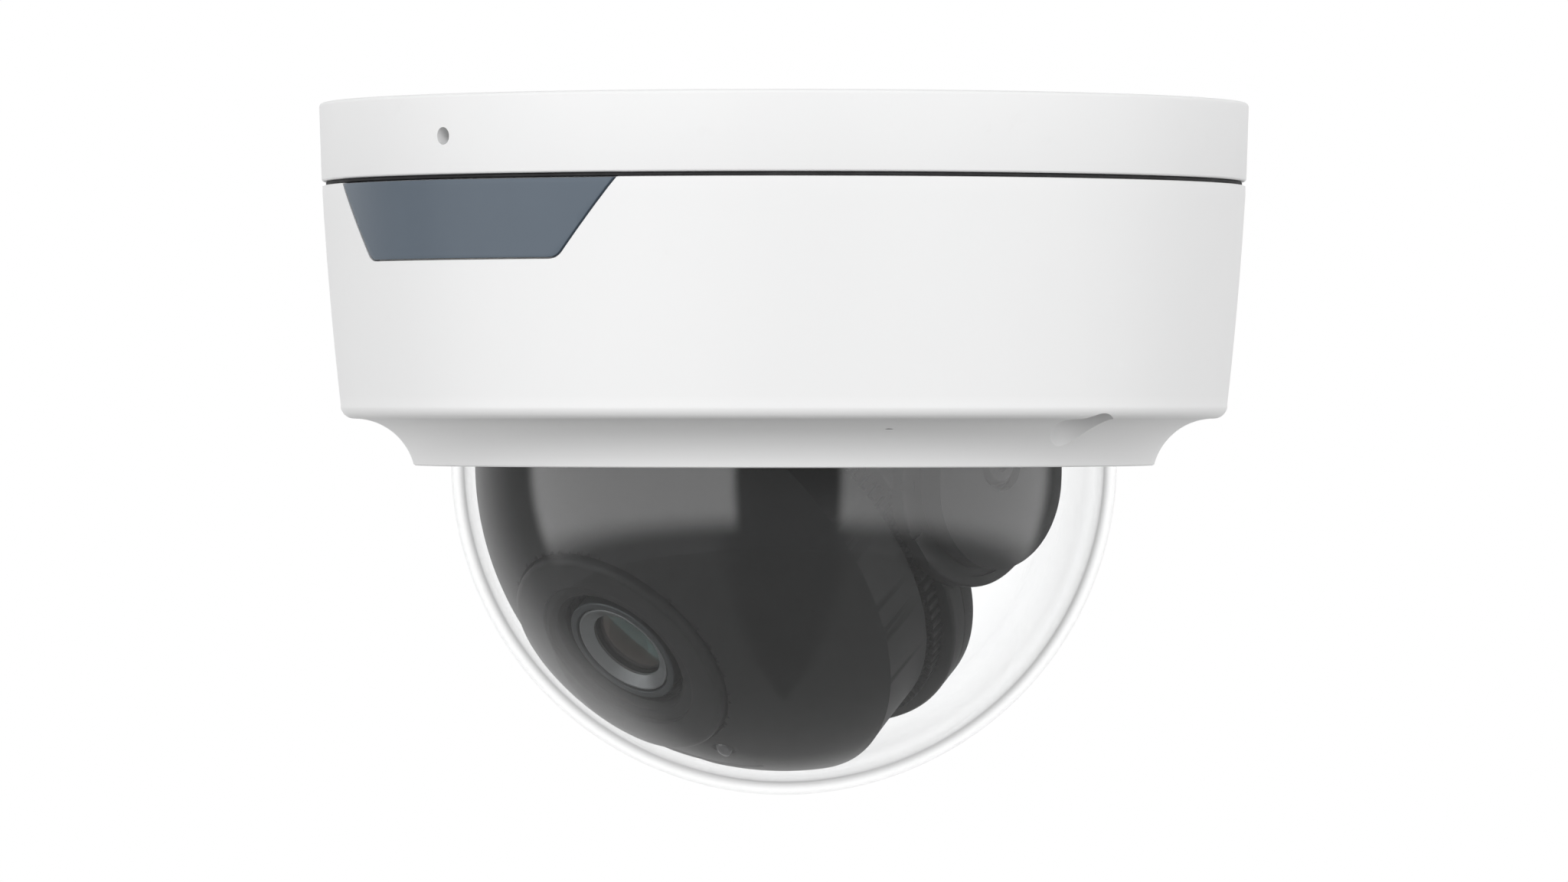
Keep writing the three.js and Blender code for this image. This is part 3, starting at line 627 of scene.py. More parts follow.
chip_black = look("chip_black", moulded_black, 0.02, 0.42, 0.1, 0.01)
board_low, board_high = corners("main_board")
board = turned("board", rounded([
    (0, board_low.z), (board_high.x, board_low.z, 0.15), (board_high.x, board_high.z, 0.15), (0, board_high.z)
]), 160)
notches = [around(rod(3.2, -3, -8, 48), side, PILLAR_R0) for side in (0, 180)]
notches += [around(rod(4.8, -3, -8, 48), angle, 46.4) for angle in WALL_SCREW_ANGLES]
notches.append(around(rod(7.2, -3, -8, 64), CABLE_ANGLE, CORNER_R0 + 0.8))
notches.append(moved(oblong(6, 8, -8, -3, 0.8), shift(0, -49.5, 0)))
for ring in (BOARD_SCREWS, PAN_SCREWS):
    notches += [around(rod(1.4, -3, -8, 32), angle, ring["radius"]) for angle in angles_of(ring)]
carved(board, "DIFFERENCE", *notches)
fitted(board, "main_board_fine", "base", circuit_board, "circuit_board", "main_board")


def node_input(group, name, kind, value=None):
    socket = group.interface.new_socket(name=name, in_out="INPUT", socket_type=kind)
    if value is not None:
        socket.default_value = value
    return socket.identifier


def ring_tree():
    """Copies of one item, evenly round Z, each turned to face outwards."""
    group = bpy.data.node_groups.new("ring_of_items", "GeometryNodeTree")
    named = {
        "Item": node_input(group, "Item", "NodeSocketGeometry"),
        "Count": node_input(group, "Count", "NodeSocketInt", 3),
        "Radius": node_input(group, "Radius", "NodeSocketFloat", 10.0),
        "Start": node_input(group, "Start", "NodeSocketFloat", 0.0),
        "Step": node_input(group, "Step", "NodeSocketFloat", 120.0),
        "Material": node_input(group, "Material", "NodeSocketMaterial"),
    }
    group.interface.new_socket(name="Items", in_out="OUTPUT", socket_type="NodeSocketGeometry")
    add = group.nodes.new
    join = group.links.new
    start = add("NodeGroupInput")
    points = add("GeometryNodePoints")
    index = add("GeometryNodeInputIndex")
    turn = add("ShaderNodeMath")
    turn.operation = "MULTIPLY_ADD"
    radians = add("ShaderNodeMath")
    radians.operation = "RADIANS"
    angle = add("ShaderNodeCombineXYZ")
    reach = add("ShaderNodeCombineXYZ")
    rotate = add("ShaderNodeVectorRotate")
    rotate.rotation_type = "Z_AXIS"
    place = add("GeometryNodeInstanceOnPoints")
    real = add("GeometryNodeRealizeInstances")
    paint = add("GeometryNodeSetMaterial")
    end = add("NodeGroupOutput")
    join(start.outputs["Count"], points.inputs["Count"])
    join(index.outputs[0], turn.inputs[0])
    join(start.outputs["Step"], turn.inputs[1])
    join(start.outputs["Start"], turn.inputs[2])
    join(turn.outputs[0], radians.inputs[0])
    join(radians.outputs[0], angle.inputs["Z"])
    join(start.outputs["Radius"], reach.inputs["X"])
    join(reach.outputs[0], rotate.inputs["Vector"])
    join(radians.outputs[0], rotate.inputs["Angle"])
    join(rotate.outputs[0], points.inputs["Position"])
    join(points.outputs[0], place.inputs["Points"])
    join(start.outputs["Item"], place.inputs["Instance"])
    join(angle.outputs[0], place.inputs["Rotation"])
    join(place.outputs[0], real.inputs[0])
    join(real.outputs[0], paint.inputs["Geometry"])
    join(start.outputs["Material"], paint.inputs["Material"])
    join(paint.outputs[0], end.inputs[0])
    return group, named


RING_TREE, RING_INPUTS = ring_tree()


def ring_of(item, count, radius, start, material, step=None):
    """The item repeated round Z by the ring tree, as one plain mesh."""
    nodes = item.modifiers.new("ring", "NODES")
    nodes.node_group = RING_TREE
    given = {"Count": count, "Radius": float(radius), "Start": float(start), "Material": material}
    given["Step"] = float(step if step else 360 / count)
    for name, value in given.items():
        nodes[RING_INPUTS[name]] = value
    return applied(item)


chip_foot = softened(oblong(1.6, 0.8, board_low.z - 0.55, board_low.z - 0.02), 0.08)
small_parts = ring_of(chip_foot, BOARD_SMALL_PARTS, 46.9, 5, chip_black, 6.3)
fitted(small_parts, "board_small_parts", "base", chip_black, "chip_black")


def squared(node, edge, segments=2):
    """A rectangular piece with the size of its node and softly rounded edges."""
    low, high = corners(node)
    middle = (low + high) / 2
    size = high - low
    block = oblong(size.x, size.y, low.z, high.z)
    return softened(moved(block, shift(middle.x, middle.y, 0)), edge, segments)


def refined(node, edge, segments=2):
    """A merged copy of a node's own mesh, in millimetres, with its edges rounded."""
    copy = frame["nodes"][node].data.copy()
    work = bmesh.new()
    work.from_mesh(copy)
    bmesh.ops.scale(work, vec=(1000, 1000, 1000), verts=work.verts)
    bmesh.ops.remove_doubles(work, verts=work.verts, dist=1e-3)
    flat = math.radians(1)
    bmesh.ops.dissolve_limit(work, angle_limit=flat, verts=work.verts, edges=work.edges)
    work.to_mesh(copy)
    work.free()
    made = bpy.data.objects.new(node, copy)
    bpy.context.scene.collection.objects.link(made)
    return softened(made, edge, segments)


fitted(squared("processor", 0.15), "processor_fine", "base", chip_black, "chip_black", "processor")


def heat_pad(tree):
    """Soft grey silicone pad with a printed weave."""
    weave = tree.noise(0.5, 1, 0.5, (1, 3, 1))
    return {
        "Base Color": tree.blend(weave, rgb(0.26, 0.28, 0.3), rgb(0.36, 0.38, 0.4)),
        "Roughness": 0.75 + weave * 0.15,
        "Normal": tree.bump(weave, 0.03, 0.5),
    }


grey_pad = look("grey_pad", heat_pad)
fitted(squared("thermal_pad", 0.12), "thermal_pad_fine", "base", grey_pad, "grey_pad", "thermal_pad")

jack = refined("rj45_jack", 0.25)
fitted(jack, "rj45_jack_fine", "base", silver_metal, "silver_metal", "rj45_jack")


def gold_plate(tree):
    """Thin gold over nickel, a little dull."""
    patch = tree.noise(1.5, 3)
    return {
        "Base Color": tree.blend(patch, rgb(0.95, 0.62, 0.22), rgb(0.8, 0.5, 0.2)),
        "Metallic": 0.95 + patch * 0.05,
        "Roughness": 0.22 + patch * 0.12,
    }


gold = look("gold_plate", gold_plate)
jack_low = corners("rj45_jack")[0]
contacts = []
for i in range(8):
    blade = softened(oblong(0.45, 0.3, jack_low.z + 1.5, jack_low.z + 10, 0.1), 0.05, 1)
    contacts.append(moved(blade, shift((i - 3.5) * 1.02, jack_low.y + 1.65, 0)))
pins = carved(contacts[0], "UNION", *contacts[1:])
fitted(pins, "jack_contacts", "base", gold, "silver_metal")

transformer = refined("poe_transformer", 0.35)
fitted(transformer, "poe_transformer_fine", "base", chip_black, "chip_black", "poe_transformer")
card_socket = refined("microsd_socket", 0.2)
fitted(card_socket, "microsd_socket_fine", "base", silver_metal, "silver_metal", "microsd_socket")

can_low, can_high = corners("capacitor")
can_middle = (can_low + can_high) / 2
can = turned("can", rounded([
    (0, can_high.z), (3.3, can_high.z, 0.2), (3.3, can_high.z - 1.0), (3.6, can_high.z - 1.6, 0.3),
    (3.6, can_low.z, 0.5), (3.0, can_low.z), (2.85, can_low.z + 0.15), (0, can_low.z + 0.15)
]), 64)
score = [moved(oblong(5, 0.25, can_low.z - 1, can_low.z + 0.3), spin(turn)) for turn in (0, 90)]
carved(can, "DIFFERENCE", *score)
moved(can, shift(can_middle.x, can_middle.y, 0))
fitted(can, "capacitor_fine", "base", silver_metal, "silver_metal", "capacitor")

switch = refined("reset_switch", 0.2)
fitted(switch, "reset_switch_fine", "base", chip_black, "chip_black", "reset_switch")


def pale_moulding(tree):
    """Smooth off-white plastic, slightly yellowed in patches."""
    patch = tree.noise(1.2, 2)
    return {
        "Base Color": tree.blend(patch, rgb(0.75, 0.75, 0.71), rgb(0.68, 0.67, 0.62)),
        "Roughness": 0.38 + patch * 0.12,
    }


reset_plastic = look("reset_plastic", pale_moulding)
button_low, button_high = corners("reset_button")
button_middle = (button_low + button_high) / 2
button = moved(rod(1.6, button_low.z, button_high.z, 48, 0.3), shift(button_middle.x, button_middle.y, 0))
fitted(button, "reset_button_fine", "reset", reset_plastic, "reset_plastic", "reset_button")

# ---------------------------------------------------------------------------------------------
# Inner liner. A black sleeve with a flange, moulded in one, that hides the board from outside. It
# has windows in its flange for the network plug, the memory card and the reset button.
LINER_R = 36.7
LINER_WALL = 0.8
LINER_TURN = -33
RESET_ANGLE = 337

black_plastic = look("black_plastic", moulded_black, 0.01, 0.42, 0.22, 0.004, 0.3)
liner_low, liner_high = corners("inner_liner")
liner = turned("liner", rounded([
    (LINER_R, -33.2, 0.4),
    (LINER_R, liner_high.z, 0.2),
    (LINER_R + LINER_WALL, liner_high.z, 0.2),
    (LINER_R + LINER_WALL, LINER_TURN, 0.6),
    (liner_high.x, LINER_TURN, 0.2),
    (liner_high.x, liner_low.z, 0.3),
    (LINER_R + LINER_WALL, liner_low.z, 0.5),
]))
tabs = []
tab_holes = []
for angle in angles_of(BOARD_SCREWS):
    tab = oblong(6.4, 6, liner_high.z - 1.5, liner_high.z, 1)
    tabs.append(around(tab, angle, BOARD_SCREWS["radius"] + 0.3))
    tab_holes.append(around(rod(1.4, -5, -9, 32), angle, BOARD_SCREWS["radius"]))
carved(liner, "UNION", *tabs)
tab_holes.append(rod(LINER_R, -1, -40, FINE))
tab_holes.append(moved(oblong(17, 14, -36, -30, 1), shift(0, 45, 0)))
tab_holes.append(around(oblong(8, 17, -36, -30, 1), 292, 43.2))
tab_holes.append(around(rod(2.4, -30, -36, 40), RESET_ANGLE, 42))
carved(liner, "DIFFERENCE", *tab_holes)
fitted(liner, "inner_liner_fine", "base", black_plastic, "black_plastic", "inner_liner")


def screw_outline(head, height, shank, seat, tip, drive=0.62):
    """A pan head with a domed top and a recess, and a plain shank, along Z."""
    up = 1 if seat > tip else -1
    crown = seat + up * height
    return rounded([
        (0, crown - up * height * 0.55), (head * drive * 0.5, crown - up * height * 0.55),
        (head * drive * 0.62, crown), (head * 0.8, crown, head * 0.12),
        (head, seat + up * height * 0.35, head * 0.08), (head, seat), (shank, seat),
        (shank, tip + up * shank * 0.5), (shank * 0.5, tip), (0, tip)
    ])


def screw(head, height, shank, seat, tip):
    return turned("screw", screw_outline(head, height, shank, seat, tip), 40)


def screws(name, body, ring, head, height, shank, seat, tip, *nodes):
    """A ring of like screws on one body."""
    made = ring_of(screw(head, height, shank, seat, tip), ring["count"], ring["radius"], ring["start"], steel)
    return fitted(made, name, body, steel, "steel", *nodes)


board_screws = [f"board_screw_{number}" for number in (1, 2, 3)]
screws("board_screws", "base", BOARD_SCREWS, 2, 1.2, 0.8, -8.3, -2.9, *board_screws)

# ---------------------------------------------------------------------------------------------
# Pan bearing. A black base with a hollow hub, screwed to the casting, that the yoke turns round
# on an acetal washer, held on by a steel ring.
pan_low, pan_high = corners("pan_base")
pan_base = turned("pan_base", rounded([
    (7.5, pan_high.z, 0.2), (30, pan_high.z, 0.3), (30, -8, 0.4), (10.6, -8, 0.5),
    (10.6, pan_low.z, 0.3), (7.5, pan_low.z, 0.3)
]), 144)
pan_holes = []
for angle in angles_of(PAN_SCREWS):
    pan_holes.append(around(rod(2.3, -7.3, -9, 40), angle, PAN_SCREWS["radius"]))
    pan_holes.append(around(rod(1.4, -5, -9, 32), angle, PAN_SCREWS["radius"]))
carved(pan_base, "DIFFERENCE", *pan_holes)
fitted(pan_base, "pan_base_fine", "base", black_plastic, "black_plastic", "pan_base")
pan_screws = [f"pan_base_screw_{number}" for number in (1, 2)]
screws("pan_base_screws", "base", PAN_SCREWS, 1.9, 0.6, 0.8, -7.35, -2.9, *pan_screws)


def slick_washer(tree):
    """Milky acetal with turned rings and a polish where it slides."""
    rings = tree.noise(0.8, 2)
    return {
        "Base Color": tree.blend(rings, rgb(0.46, 0.46, 0.44), rgb(0.56, 0.56, 0.53)),
        "Roughness": 0.28 + rings * 0.2,
        "Normal": tree.bump(rings, 0.008, 0.4),
    }


washer_plastic = look("washer_plastic", slick_washer)
pan_washer = washer("pan_washer", 20, 11.2, -8.3, -8.1, 0.06, 96)
fitted(pan_washer, "pan_washer_fine", "base", washer_plastic, "washer_plastic", "pan_washer")
retainer = washer("retainer", 12.8, 7.5, -11.2, -10.75, 0.12, 96)
fitted(retainer, "pan_retainer_fine", "base", steel, "steel", "pan_retainer")

# ---------------------------------------------------------------------------------------------
# Yoke. One black moulding: a turntable above the eyeball and two ears that reach down either side
# of it, trimmed to the circle that they sweep. A shouldered screw and a washer make each pivot.
EAR_X0 = 31.7
EAR_X1 = 34.9
EAR_HALF = 9.75
EAR_DROP = 2.2
SWEEP_R = 36.2

centre = Vector(joints["tilt"]["pos_m"]) * 1000
yoke_top = corners("yoke")[1].z
table = washer("yoke", SWEEP_R - 0.05, 11, -10.3, yoke_top, 0.35)
ear_root = yoke_top - 0.6
ear_parts = []
ear_cuts = []
for side in (1, -1):
    thickness = EAR_X1 - EAR_X0
    middle = side * (EAR_X0 + EAR_X1) / 2
    arch = arc(0, centre.z - EAR_DROP, EAR_HALF, 180, 360, 40)
    plate = slab([*arch, (EAR_HALF, ear_root), (-EAR_HALF, ear_root)], -thickness / 2, thickness / 2)
    ear_parts.append(moved(plate, spin(90, "X"), spin(90), shift(middle, 0, 0)))
    pivot = spin(90 * side, "Y")
    ear_cuts.append(moved(rod(1.9, EAR_X0 - 1, EAR_X1 + 1, 48), pivot, shift(0, 0, centre.z)))
    ear_cuts.append(moved(rod(3.1, EAR_X1 - 1.2, EAR_X1 + 1, 64), pivot, shift(0, 0, centre.z)))
carved(table, "UNION", *ear_parts)
swept = turned("swept", [*arc(0, centre.z, SWEEP_R, 0, -90, 40)[::-1], (SWEEP_R, 0), (0, 0)])
carved(table, "INTERSECT", swept)
carved(table, "DIFFERENCE", *ear_cuts)
softened(table, 0.3, 3, 40)
fitted(table, "yoke_fine", "pan_yoke", black_plastic, "black_plastic", "yoke")

black_steel = look("black_steel", plated, 0.035, 0.0, 0.36)
for side, word in ((1, "right"), (-1, "left")):
    pivot = shift(0, 0, centre.z) @ spin(90 * side, "Y")
    tilt_screw = screw(2.5, 1, 1.5, EAR_X1 - 1, 29.6)
    node = f"tilt_screw_{word}"
    fitted(tilt_screw, node + "_fine", "pan_yoke", black_steel, "steel", node, place=pivot)
    node = f"tilt_washer_{word}"
    tilt_washer = washer(node, 6, 1.9, 31.2, 31.55, 0.08, 64)
    fitted(tilt_washer, node + "_fine", "pan_yoke", washer_plastic, "washer_plastic", node, place=pivot)

# ---------------------------------------------------------------------------------------------
# Rear shell of the eyeball. A black bowl with a round knuckle each side that turns on the yoke's
# pivots, each with a raised lip and detent notches, and a rubber bush where the ribbon comes out.
REAR_R = 25
REAR_WALL = 1.6
DRUM_R = 30.8
DRUM_LOW = 7
DRUM_HIGH = 9.3
RING_TOP = 11.6
TOOTH_TOP = 13.4
KNUCKLE_R = 11.4
KNUCKLE_X = 31.4
KNUCKLE_FACE = 31.1
KNUCKLE_LIP_R = 10.2
KNUCKLE_AT = (-1.5, 2.3)
DETENTS = (20, 50, 80)

lens_axis = Vector(joints["rotation"]["axis"]).normalized()
level = Vector((1, 0, 0))
upward = lens_axis.cross(level)
EYEBALL = Matrix.Translation(centre) @ Matrix((level, upward, lens_axis)).transposed().to_4x4()


def knuckle_disc(radius, low, high, side, edge=0.0):
    """A disc on one end of the tilt axis, set off from it towards the lens."""
    return moved(rod(radius, low, high, 128, edge), spin(90 * side, "Y"), shift(0, *KNUCKLE_AT))


drum_floor = DRUM_LOW + REAR_WALL
inside_r = REAR_R - REAR_WALL
open_r = DRUM_R - REAR_WALL
outer = arc(0, 0, REAR_R, -90, math.degrees(math.asin(DRUM_LOW / REAR_R)), 48)
inner = arc(0, 0, inside_r, -90, math.degrees(math.asin(drum_floor / inside_r)), 48)
drum = rounded([outer[-1], (DRUM_R, DRUM_LOW, 0.7), (DRUM_R, DRUM_HIGH, 0.06), (0, DRUM_HIGH)])
bowl = turned("bowl", [(0, -REAR_R), *outer[1:-1], *drum])
hollow = turned("hollow", [
    (0, -inside_r), *inner[1:], (open_r, drum_floor), (open_r, TOOTH_TOP + 1), (0, TOOTH_TOP + 1)
])
knuckles = []
dishes = []
for side in (1, -1):
    knuckle = knuckle_disc(KNUCKLE_R, 22, KNUCKLE_X, side, 0.35)
    above = moved(oblong(20, 30, TOOTH_TOP, 20), shift(side * 28, 0, 0))
    within = moved(oblong(12, 30, DRUM_HIGH, 20), shift(side * 23.5, 0, 0))
    knuckles.append(carved(knuckle, "DIFFERENCE", above, within))
    dishes.append(knuckle_disc(KNUCKLE_LIP_R, KNUCKLE_FACE, KNUCKLE_X + 1, side))
    dishes.append(moved(rod(1.9, 27, KNUCKLE_X + 1, 40), spin(90 * side, "Y")))
    for angle in DETENTS:
        notch = oblong(1.0, 3.2, KNUCKLE_FACE - 0.1, KNUCKLE_X + 1, 0.2)
        moved(notch, shift(0, KNUCKLE_R - 0.6, 0), spin(angle))
        dishes.append(moved(notch, spin(90 * side, "Y"), shift(0, *KNUCKLE_AT)))
carved(bowl, "UNION", *knuckles)
carved(bowl, "DIFFERENCE", hollow, rod(5.5, -REAR_R - 1, -20, 64), *dishes)
fitted(bowl, "rear_shell_fine", "tilt_cradle", black_plastic, "black_plastic", "rear_shell", place=EYEBALL)

rear_bush = turned("rear_bush", rounded([
    (3, -24.5, 0.5), (5.2, -24.5, 0.4), (5.2, -22.1), (6.6, -22.1, 0.2), (6.6, -20.9, 0.3), (3, -20.9, 0.3)
]), 64)
fitted(rear_bush, "rear_bush_fine", "tilt_cradle", black_rubber, "black_rubber", "rear_bush", place=EYEBALL)

# ---------------------------------------------------------------------------------------------
# Rotation ring. A black ring fixed to the rear shell, level with its drum, with fine teeth on its
# front. The front shell clicks round on them, so that the picture can be levelled.
TEETH = 120
TOOTH_R = 29.2
TOOTH_DEPTH = 0.8
RING_INNER_R = 26.9
RING_LOW = DRUM_HIGH + 0.04

tooth_width = math.pi * TOOTH_R / TEETH
tooth = softened(oblong(TOOTH_DEPTH * 2, tooth_width, RING_TOP - 0.2, TOOTH_TOP, 0.15), 0.1, 1)
teeth = ring_of(tooth, TEETH, TOOTH_R - TOOTH_DEPTH, 0, black_plastic)
fitted(teeth, "rotation_ring_teeth", "tilt_cradle", black_plastic, "black_plastic", place=EYEBALL)
toothed = turned("rotation_ring", rounded([
    (RING_INNER_R, RING_LOW, 0.2), (DRUM_R, RING_LOW, 0.06), (DRUM_R, RING_TOP, 0.4),
    (TOOTH_R - TOOTH_DEPTH, RING_TOP), (TOOTH_R - TOOTH_DEPTH, TOOTH_TOP, 0.1), (RING_INNER_R, TOOTH_TOP, 0.2)
]))
carved(toothed, "DIFFERENCE", *[knuckle_disc(KNUCKLE_R + 0.3, 29.2, 33, side) for side in (1, -1)])
node = "rotation_ring"
fitted(toothed, node + "_fine", "tilt_cradle", black_plastic, "black_plastic", node, place=EYEBALL)

# ---------------------------------------------------------------------------------------------
# Front shell of the eyeball. A black satin cap with a shallow panel below the lens, where a small
# smoked window lets light through to the day and night sensor.
FRONT_R = 36.25
FRONT_WALL = 1.6
NOSE_R = 14
SLEEVE = {"radius": 29.6, "inner": 28, "shift": 1.5, "low": 14.3}
PANEL_DEPTH = 0.28
WINDOW_AT = (4.8, -15.9)

satin_black = look("satin_black", moulded_black, 0.01, 0.42, 0.2, 0.001, 0.3)


def trimmed_cap(radius, sleeve_r, low):
    """The front of a ball, trimmed to a circle about the sleeve's axis."""
    front = arc(0, 0, radius, math.degrees(math.asin(low / radius)), 90, 64)
    cap = turned("cap", [(0, low), *front[:-1], (0, radius)], 256)
    sleeve = moved(rod(sleeve_r, low - 1, radius + 1, 256), shift(0, SLEEVE["shift"], 0))
    return carved(cap, "INTERSECT", sleeve)


shell = trimmed_cap(FRONT_R, SLEEVE["radius"], SLEEVE["low"])
hollow = trimmed_cap(FRONT_R - FRONT_WALL, SLEEVE["inner"], SLEEVE["low"] - 1)
carved(shell, "DIFFERENCE", hollow, rod(NOSE_R + 0.3, 25, FRONT_R + 1, 192))
softened(shell, 0.3, 3, 34)
panel = slab([(-8.2, -10), (8.2, -10), (8.2, -12.1), (5.4, -21.6), (-5.4, -21.6), (-8.2, -12.1)], 20, 40)
core_r = FRONT_R - PANEL_DEPTH
core = turned("core", [(0, -1), *arc(0, 0, core_r, 0, 90, 60)[:-1], (0, core_r)], 256)
carved(panel, "DIFFERENCE", core)
carved(shell, "DIFFERENCE", panel, moved(rod(1.3, 25, 40, 48), shift(*WINDOW_AT, 0)))
fitted(shell, "front_shell_fine", "lens_ball", satin_black, "black_plastic", "front_shell", place=EYEBALL)


def smoked(tree):
    """Dark clear plastic, polished, with faint moulding swirls."""
    swirl = tree.noise(0.6, 2)
    return {
        "Base Color": tree.blend(swirl, rgb(0.05, 0.05, 0.055), rgb(0.085, 0.085, 0.09)),
        "Roughness": 0.06 + swirl * 0.05,
        "Coat Weight": 0.5,
        "Coat Roughness": 0.03,
    }


sensor_window = look("sensor_window", smoked)
window = turned("window", [(0, 31), (1.0, 31), (1.0, 31.95), *arc(0, 30.99, 1.38, 44, 88, 8), (0, 32.37)], 48)
moved(window, shift(*WINDOW_AT, 0))
node = "light_sensor_window"
fitted(window, node + "_fine", "lens_ball", sensor_window, "sensor_window", node, place=EYEBALL)

# ---------------------------------------------------------------------------------------------
# Lens bezel. A low round nose that rings the lens, with a stepped recess, snapped into the front
# shell, and a foam ring behind it that keeps stray light off the lens.
NOSE_W = 34.4
RECESS = {"outer": 10.1, "inner": 8.6, "back": 8}

bezel = turned("bezel", rounded([
    (RECESS["back"], 32.2, 0.1), (12.4, 32.2), (12.4, 28.9), (16, 28.9, 0.2), (16, 30.2, 0.2), (NOSE_R, 30.2),
    (NOSE_R, NOSE_W, 0.75), (RECESS["outer"], NOSE_W, 0.14), (RECESS["outer"], NOSE_W - 0.5, 0.1),
    (RECESS["inner"], NOSE_W - 0.5, 0.16), (RECESS["back"], 33.1, 0.12)
]), 192)
fitted(bezel, "lens_bezel_fine", "lens_ball", satin_black, "black_plastic", "lens_bezel", place=EYEBALL)
foam = washer("foam", 12, 7.5, 29.6, 31.9, 0.4, 96)
fitted(foam, "foam_ring_fine", "lens_ball", black_rubber, "black_rubber", "foam_ring", place=EYEBALL)

# ---------------------------------------------------------------------------------------------
# Lens. An anodised barrel that screws into a holder over the sensor, three coated glass elements,
# and a grey ring that holds the front one in.


def anodised(tree, tone, cool, rough):
    """Anodised aluminium with fine turning marks and a matte bloom."""
    turning = tree.noise(0.12, 2, 0.5)
    bloom = tree.noise(3, 2)
    dark = rgb(tone, tone * (1 + cool), tone * (1 + cool * 1.4))
    light = rgb(tone * 1.3, tone * (1.3 + cool), tone * (1.3 + cool * 1.5))
    return {
        "Base Color": tree.blend(bloom, dark, light),
        "Metallic": 0.82 + bloom * 0.1,
        "Roughness": rough + turning * 0.1 + bloom * 0.05,
        "Normal": tree.bump(turning, 0.006, 0.4),
    }


black_anodised = look("black_anodised", anodised, 0.06, 0.14, 0.34)
grey_anodised = look("grey_anodised", anodised, 0.2, 0.05, 0.3)
ridges = []
for i in range(12):
    ridges += [(6, 26.4 - i), (5.75, 25.9 - i)]
barrel = turned("barrel", rounded([
    (6.2, 33.6, 0.1), (7.1, 33.6, 0.25), (7.1, 27, 0.2), (6, 27), *ridges, (6, 13.6, 0.2),
    (4.95, 13.6), (4.95, 32.2), (6.2, 32.2)
]), 144)
node = "lens_barrel"
fitted(barrel, node + "_fine", "lens_ball", black_anodised, "black_anodised", node, place=EYEBALL)
lens_ring = turned("lens_ring", rounded([
    (4.5, 32.35), (6, 32.35), (6, 33.45, 0.12), (5.75, 33.45, 0.05), (4.5, 32.65)
]), 144)
node = "lens_retaining_ring"
fitted(lens_ring, node + "_fine", "lens_ball", grey_anodised, "grey_anodised", node, place=EYEBALL)


def coated_glass(tree, colour):
    """Optical glass whose coating reflects warm and passes green."""
    haze = tree.noise(1.5, 2)
    return {
        "Base Color": rgb(*colour),
        "Roughness": haze * 0.02,
        "Transmission Weight": 1.0,
        "IOR": 1.62,
        "Specular IOR Level": 0.1,
        "Specular Tint": rgb(1.0, 0.6, 0.42),
    }


lens_glass = look("lens_glass", coated_glass, (0.14, 0.23, 0.225))


def element(radius, back, rim, crown):
    """A glass element with a flat back and a domed front."""
    bend = (radius * radius + crown * crown) / (2 * crown)
    half = math.degrees(math.asin(radius / bend))
    dome = arc(0, rim + crown - bend, bend, 90 - half, 90, 24)
    return turned("element", [(0, back), (radius, back), *dome[:-1], (0, rim + crown)], 96)


ELEMENTS = {"front": (4.65, 29.8, 31.9, 0.95), "middle": (4.2, 24, 25.6, 0.8), "rear": (3.6, 17, 18.6, 0.6)}
for word, sizes in ELEMENTS.items():
    node = f"{word}_element"
    fitted(element(*sizes), node + "_fine", "lens_ball", lens_glass, "lens_glass", node, place=EYEBALL)

lock = washer("lock", 9, 6.35, 22.5, 24.3, 0.25, 96)
flutes = [around(rod(0.7, 21, 26, 16), i * 20, 9.2) for i in range(18)]
carved(lock, "DIFFERENCE", *flutes)
fitted(lock, "focus_lock_ring_fine", "lens_ball", steel, "steel", "focus_lock_ring", place=EYEBALL)

# ---------------------------------------------------------------------------------------------
# Lens holder, carrier and sensor. The holder stands over the sensor on its own small board, and
# two screws hold it to a disc inside the front shell. Two filters on a slide pass behind the lens.
FIXED_INSIDE = (
    ("lens_holder", 0.25, black_plastic, "black_plastic"),
    ("lens_carrier", 0.2, black_plastic, "black_plastic"),
    ("sensor_board", 0.1, circuit_board, "circuit_board"),
    ("image_sensor", 0.1, chip_black, "chip_black"),
)
for node, width, material, slot in FIXED_INSIDE:
    fitted(refined(node, width, 1), node + "_fine", "lens_ball", material, slot, node)

for side, word in ((1, "right"), (-1, "left")):
    node = f"holder_screw_{word}"
    fixing = moved(screw(1.9, 1.1, 0.9, 15.4, 10.8), shift(side * 17, 0, 0))
    fitted(fixing, node + "_fine", "lens_ball", steel, "steel", node, place=EYEBALL)

filter_glass = look("filter_glass", coated_glass, (0.3, 0.5, 0.47))
node = "filter_frame"
fitted(refined(node, 0.12, 1), node + "_fine", "filter_slide", black_plastic, "black_plastic", node)
for node in ("ir_cut_filter", "clear_filter"):
    fitted(refined(node, 0.05, 1), node + "_fine", "filter_slide", filter_glass, "filter_glass", node)

# ---------------------------------------------------------------------------------------------
# Cover. A white moulded ring that leans in a little towards a soft shoulder, sweeps in under it in
# a hollow cove, and ends in a lip round the dome. Two pockets in the cove hold its captive screws.
COVER_R = 54.16
COVER_TAPER = 0.058
COVER_BOW = 0.00107
COVER_WALL = 2
SHOULDER = (50.4, -35.3, 1.6)
COVE = (50.4, -44.1, 7.2)
LIP_R = 43.5
LIP_HOLE_R = 39.5
POCKET_R = 3.6
POCKET_TOP = -33

cover_low, cover_high = corners("cover_shell")


def cover_side(steps, inset=0.0, above=0.0):
    """The side's profile from top to shoulder: it leans in and bows slightly."""
    points = []
    for i in range(steps + 1):
        z = cover_high.z + above + (SHOULDER[1] - cover_high.z - above) * i / steps
        t = cover_high.z - z
        points.append((COVER_R - COVER_TAPER * t - COVER_BOW * t * t - inset, z))
    return points


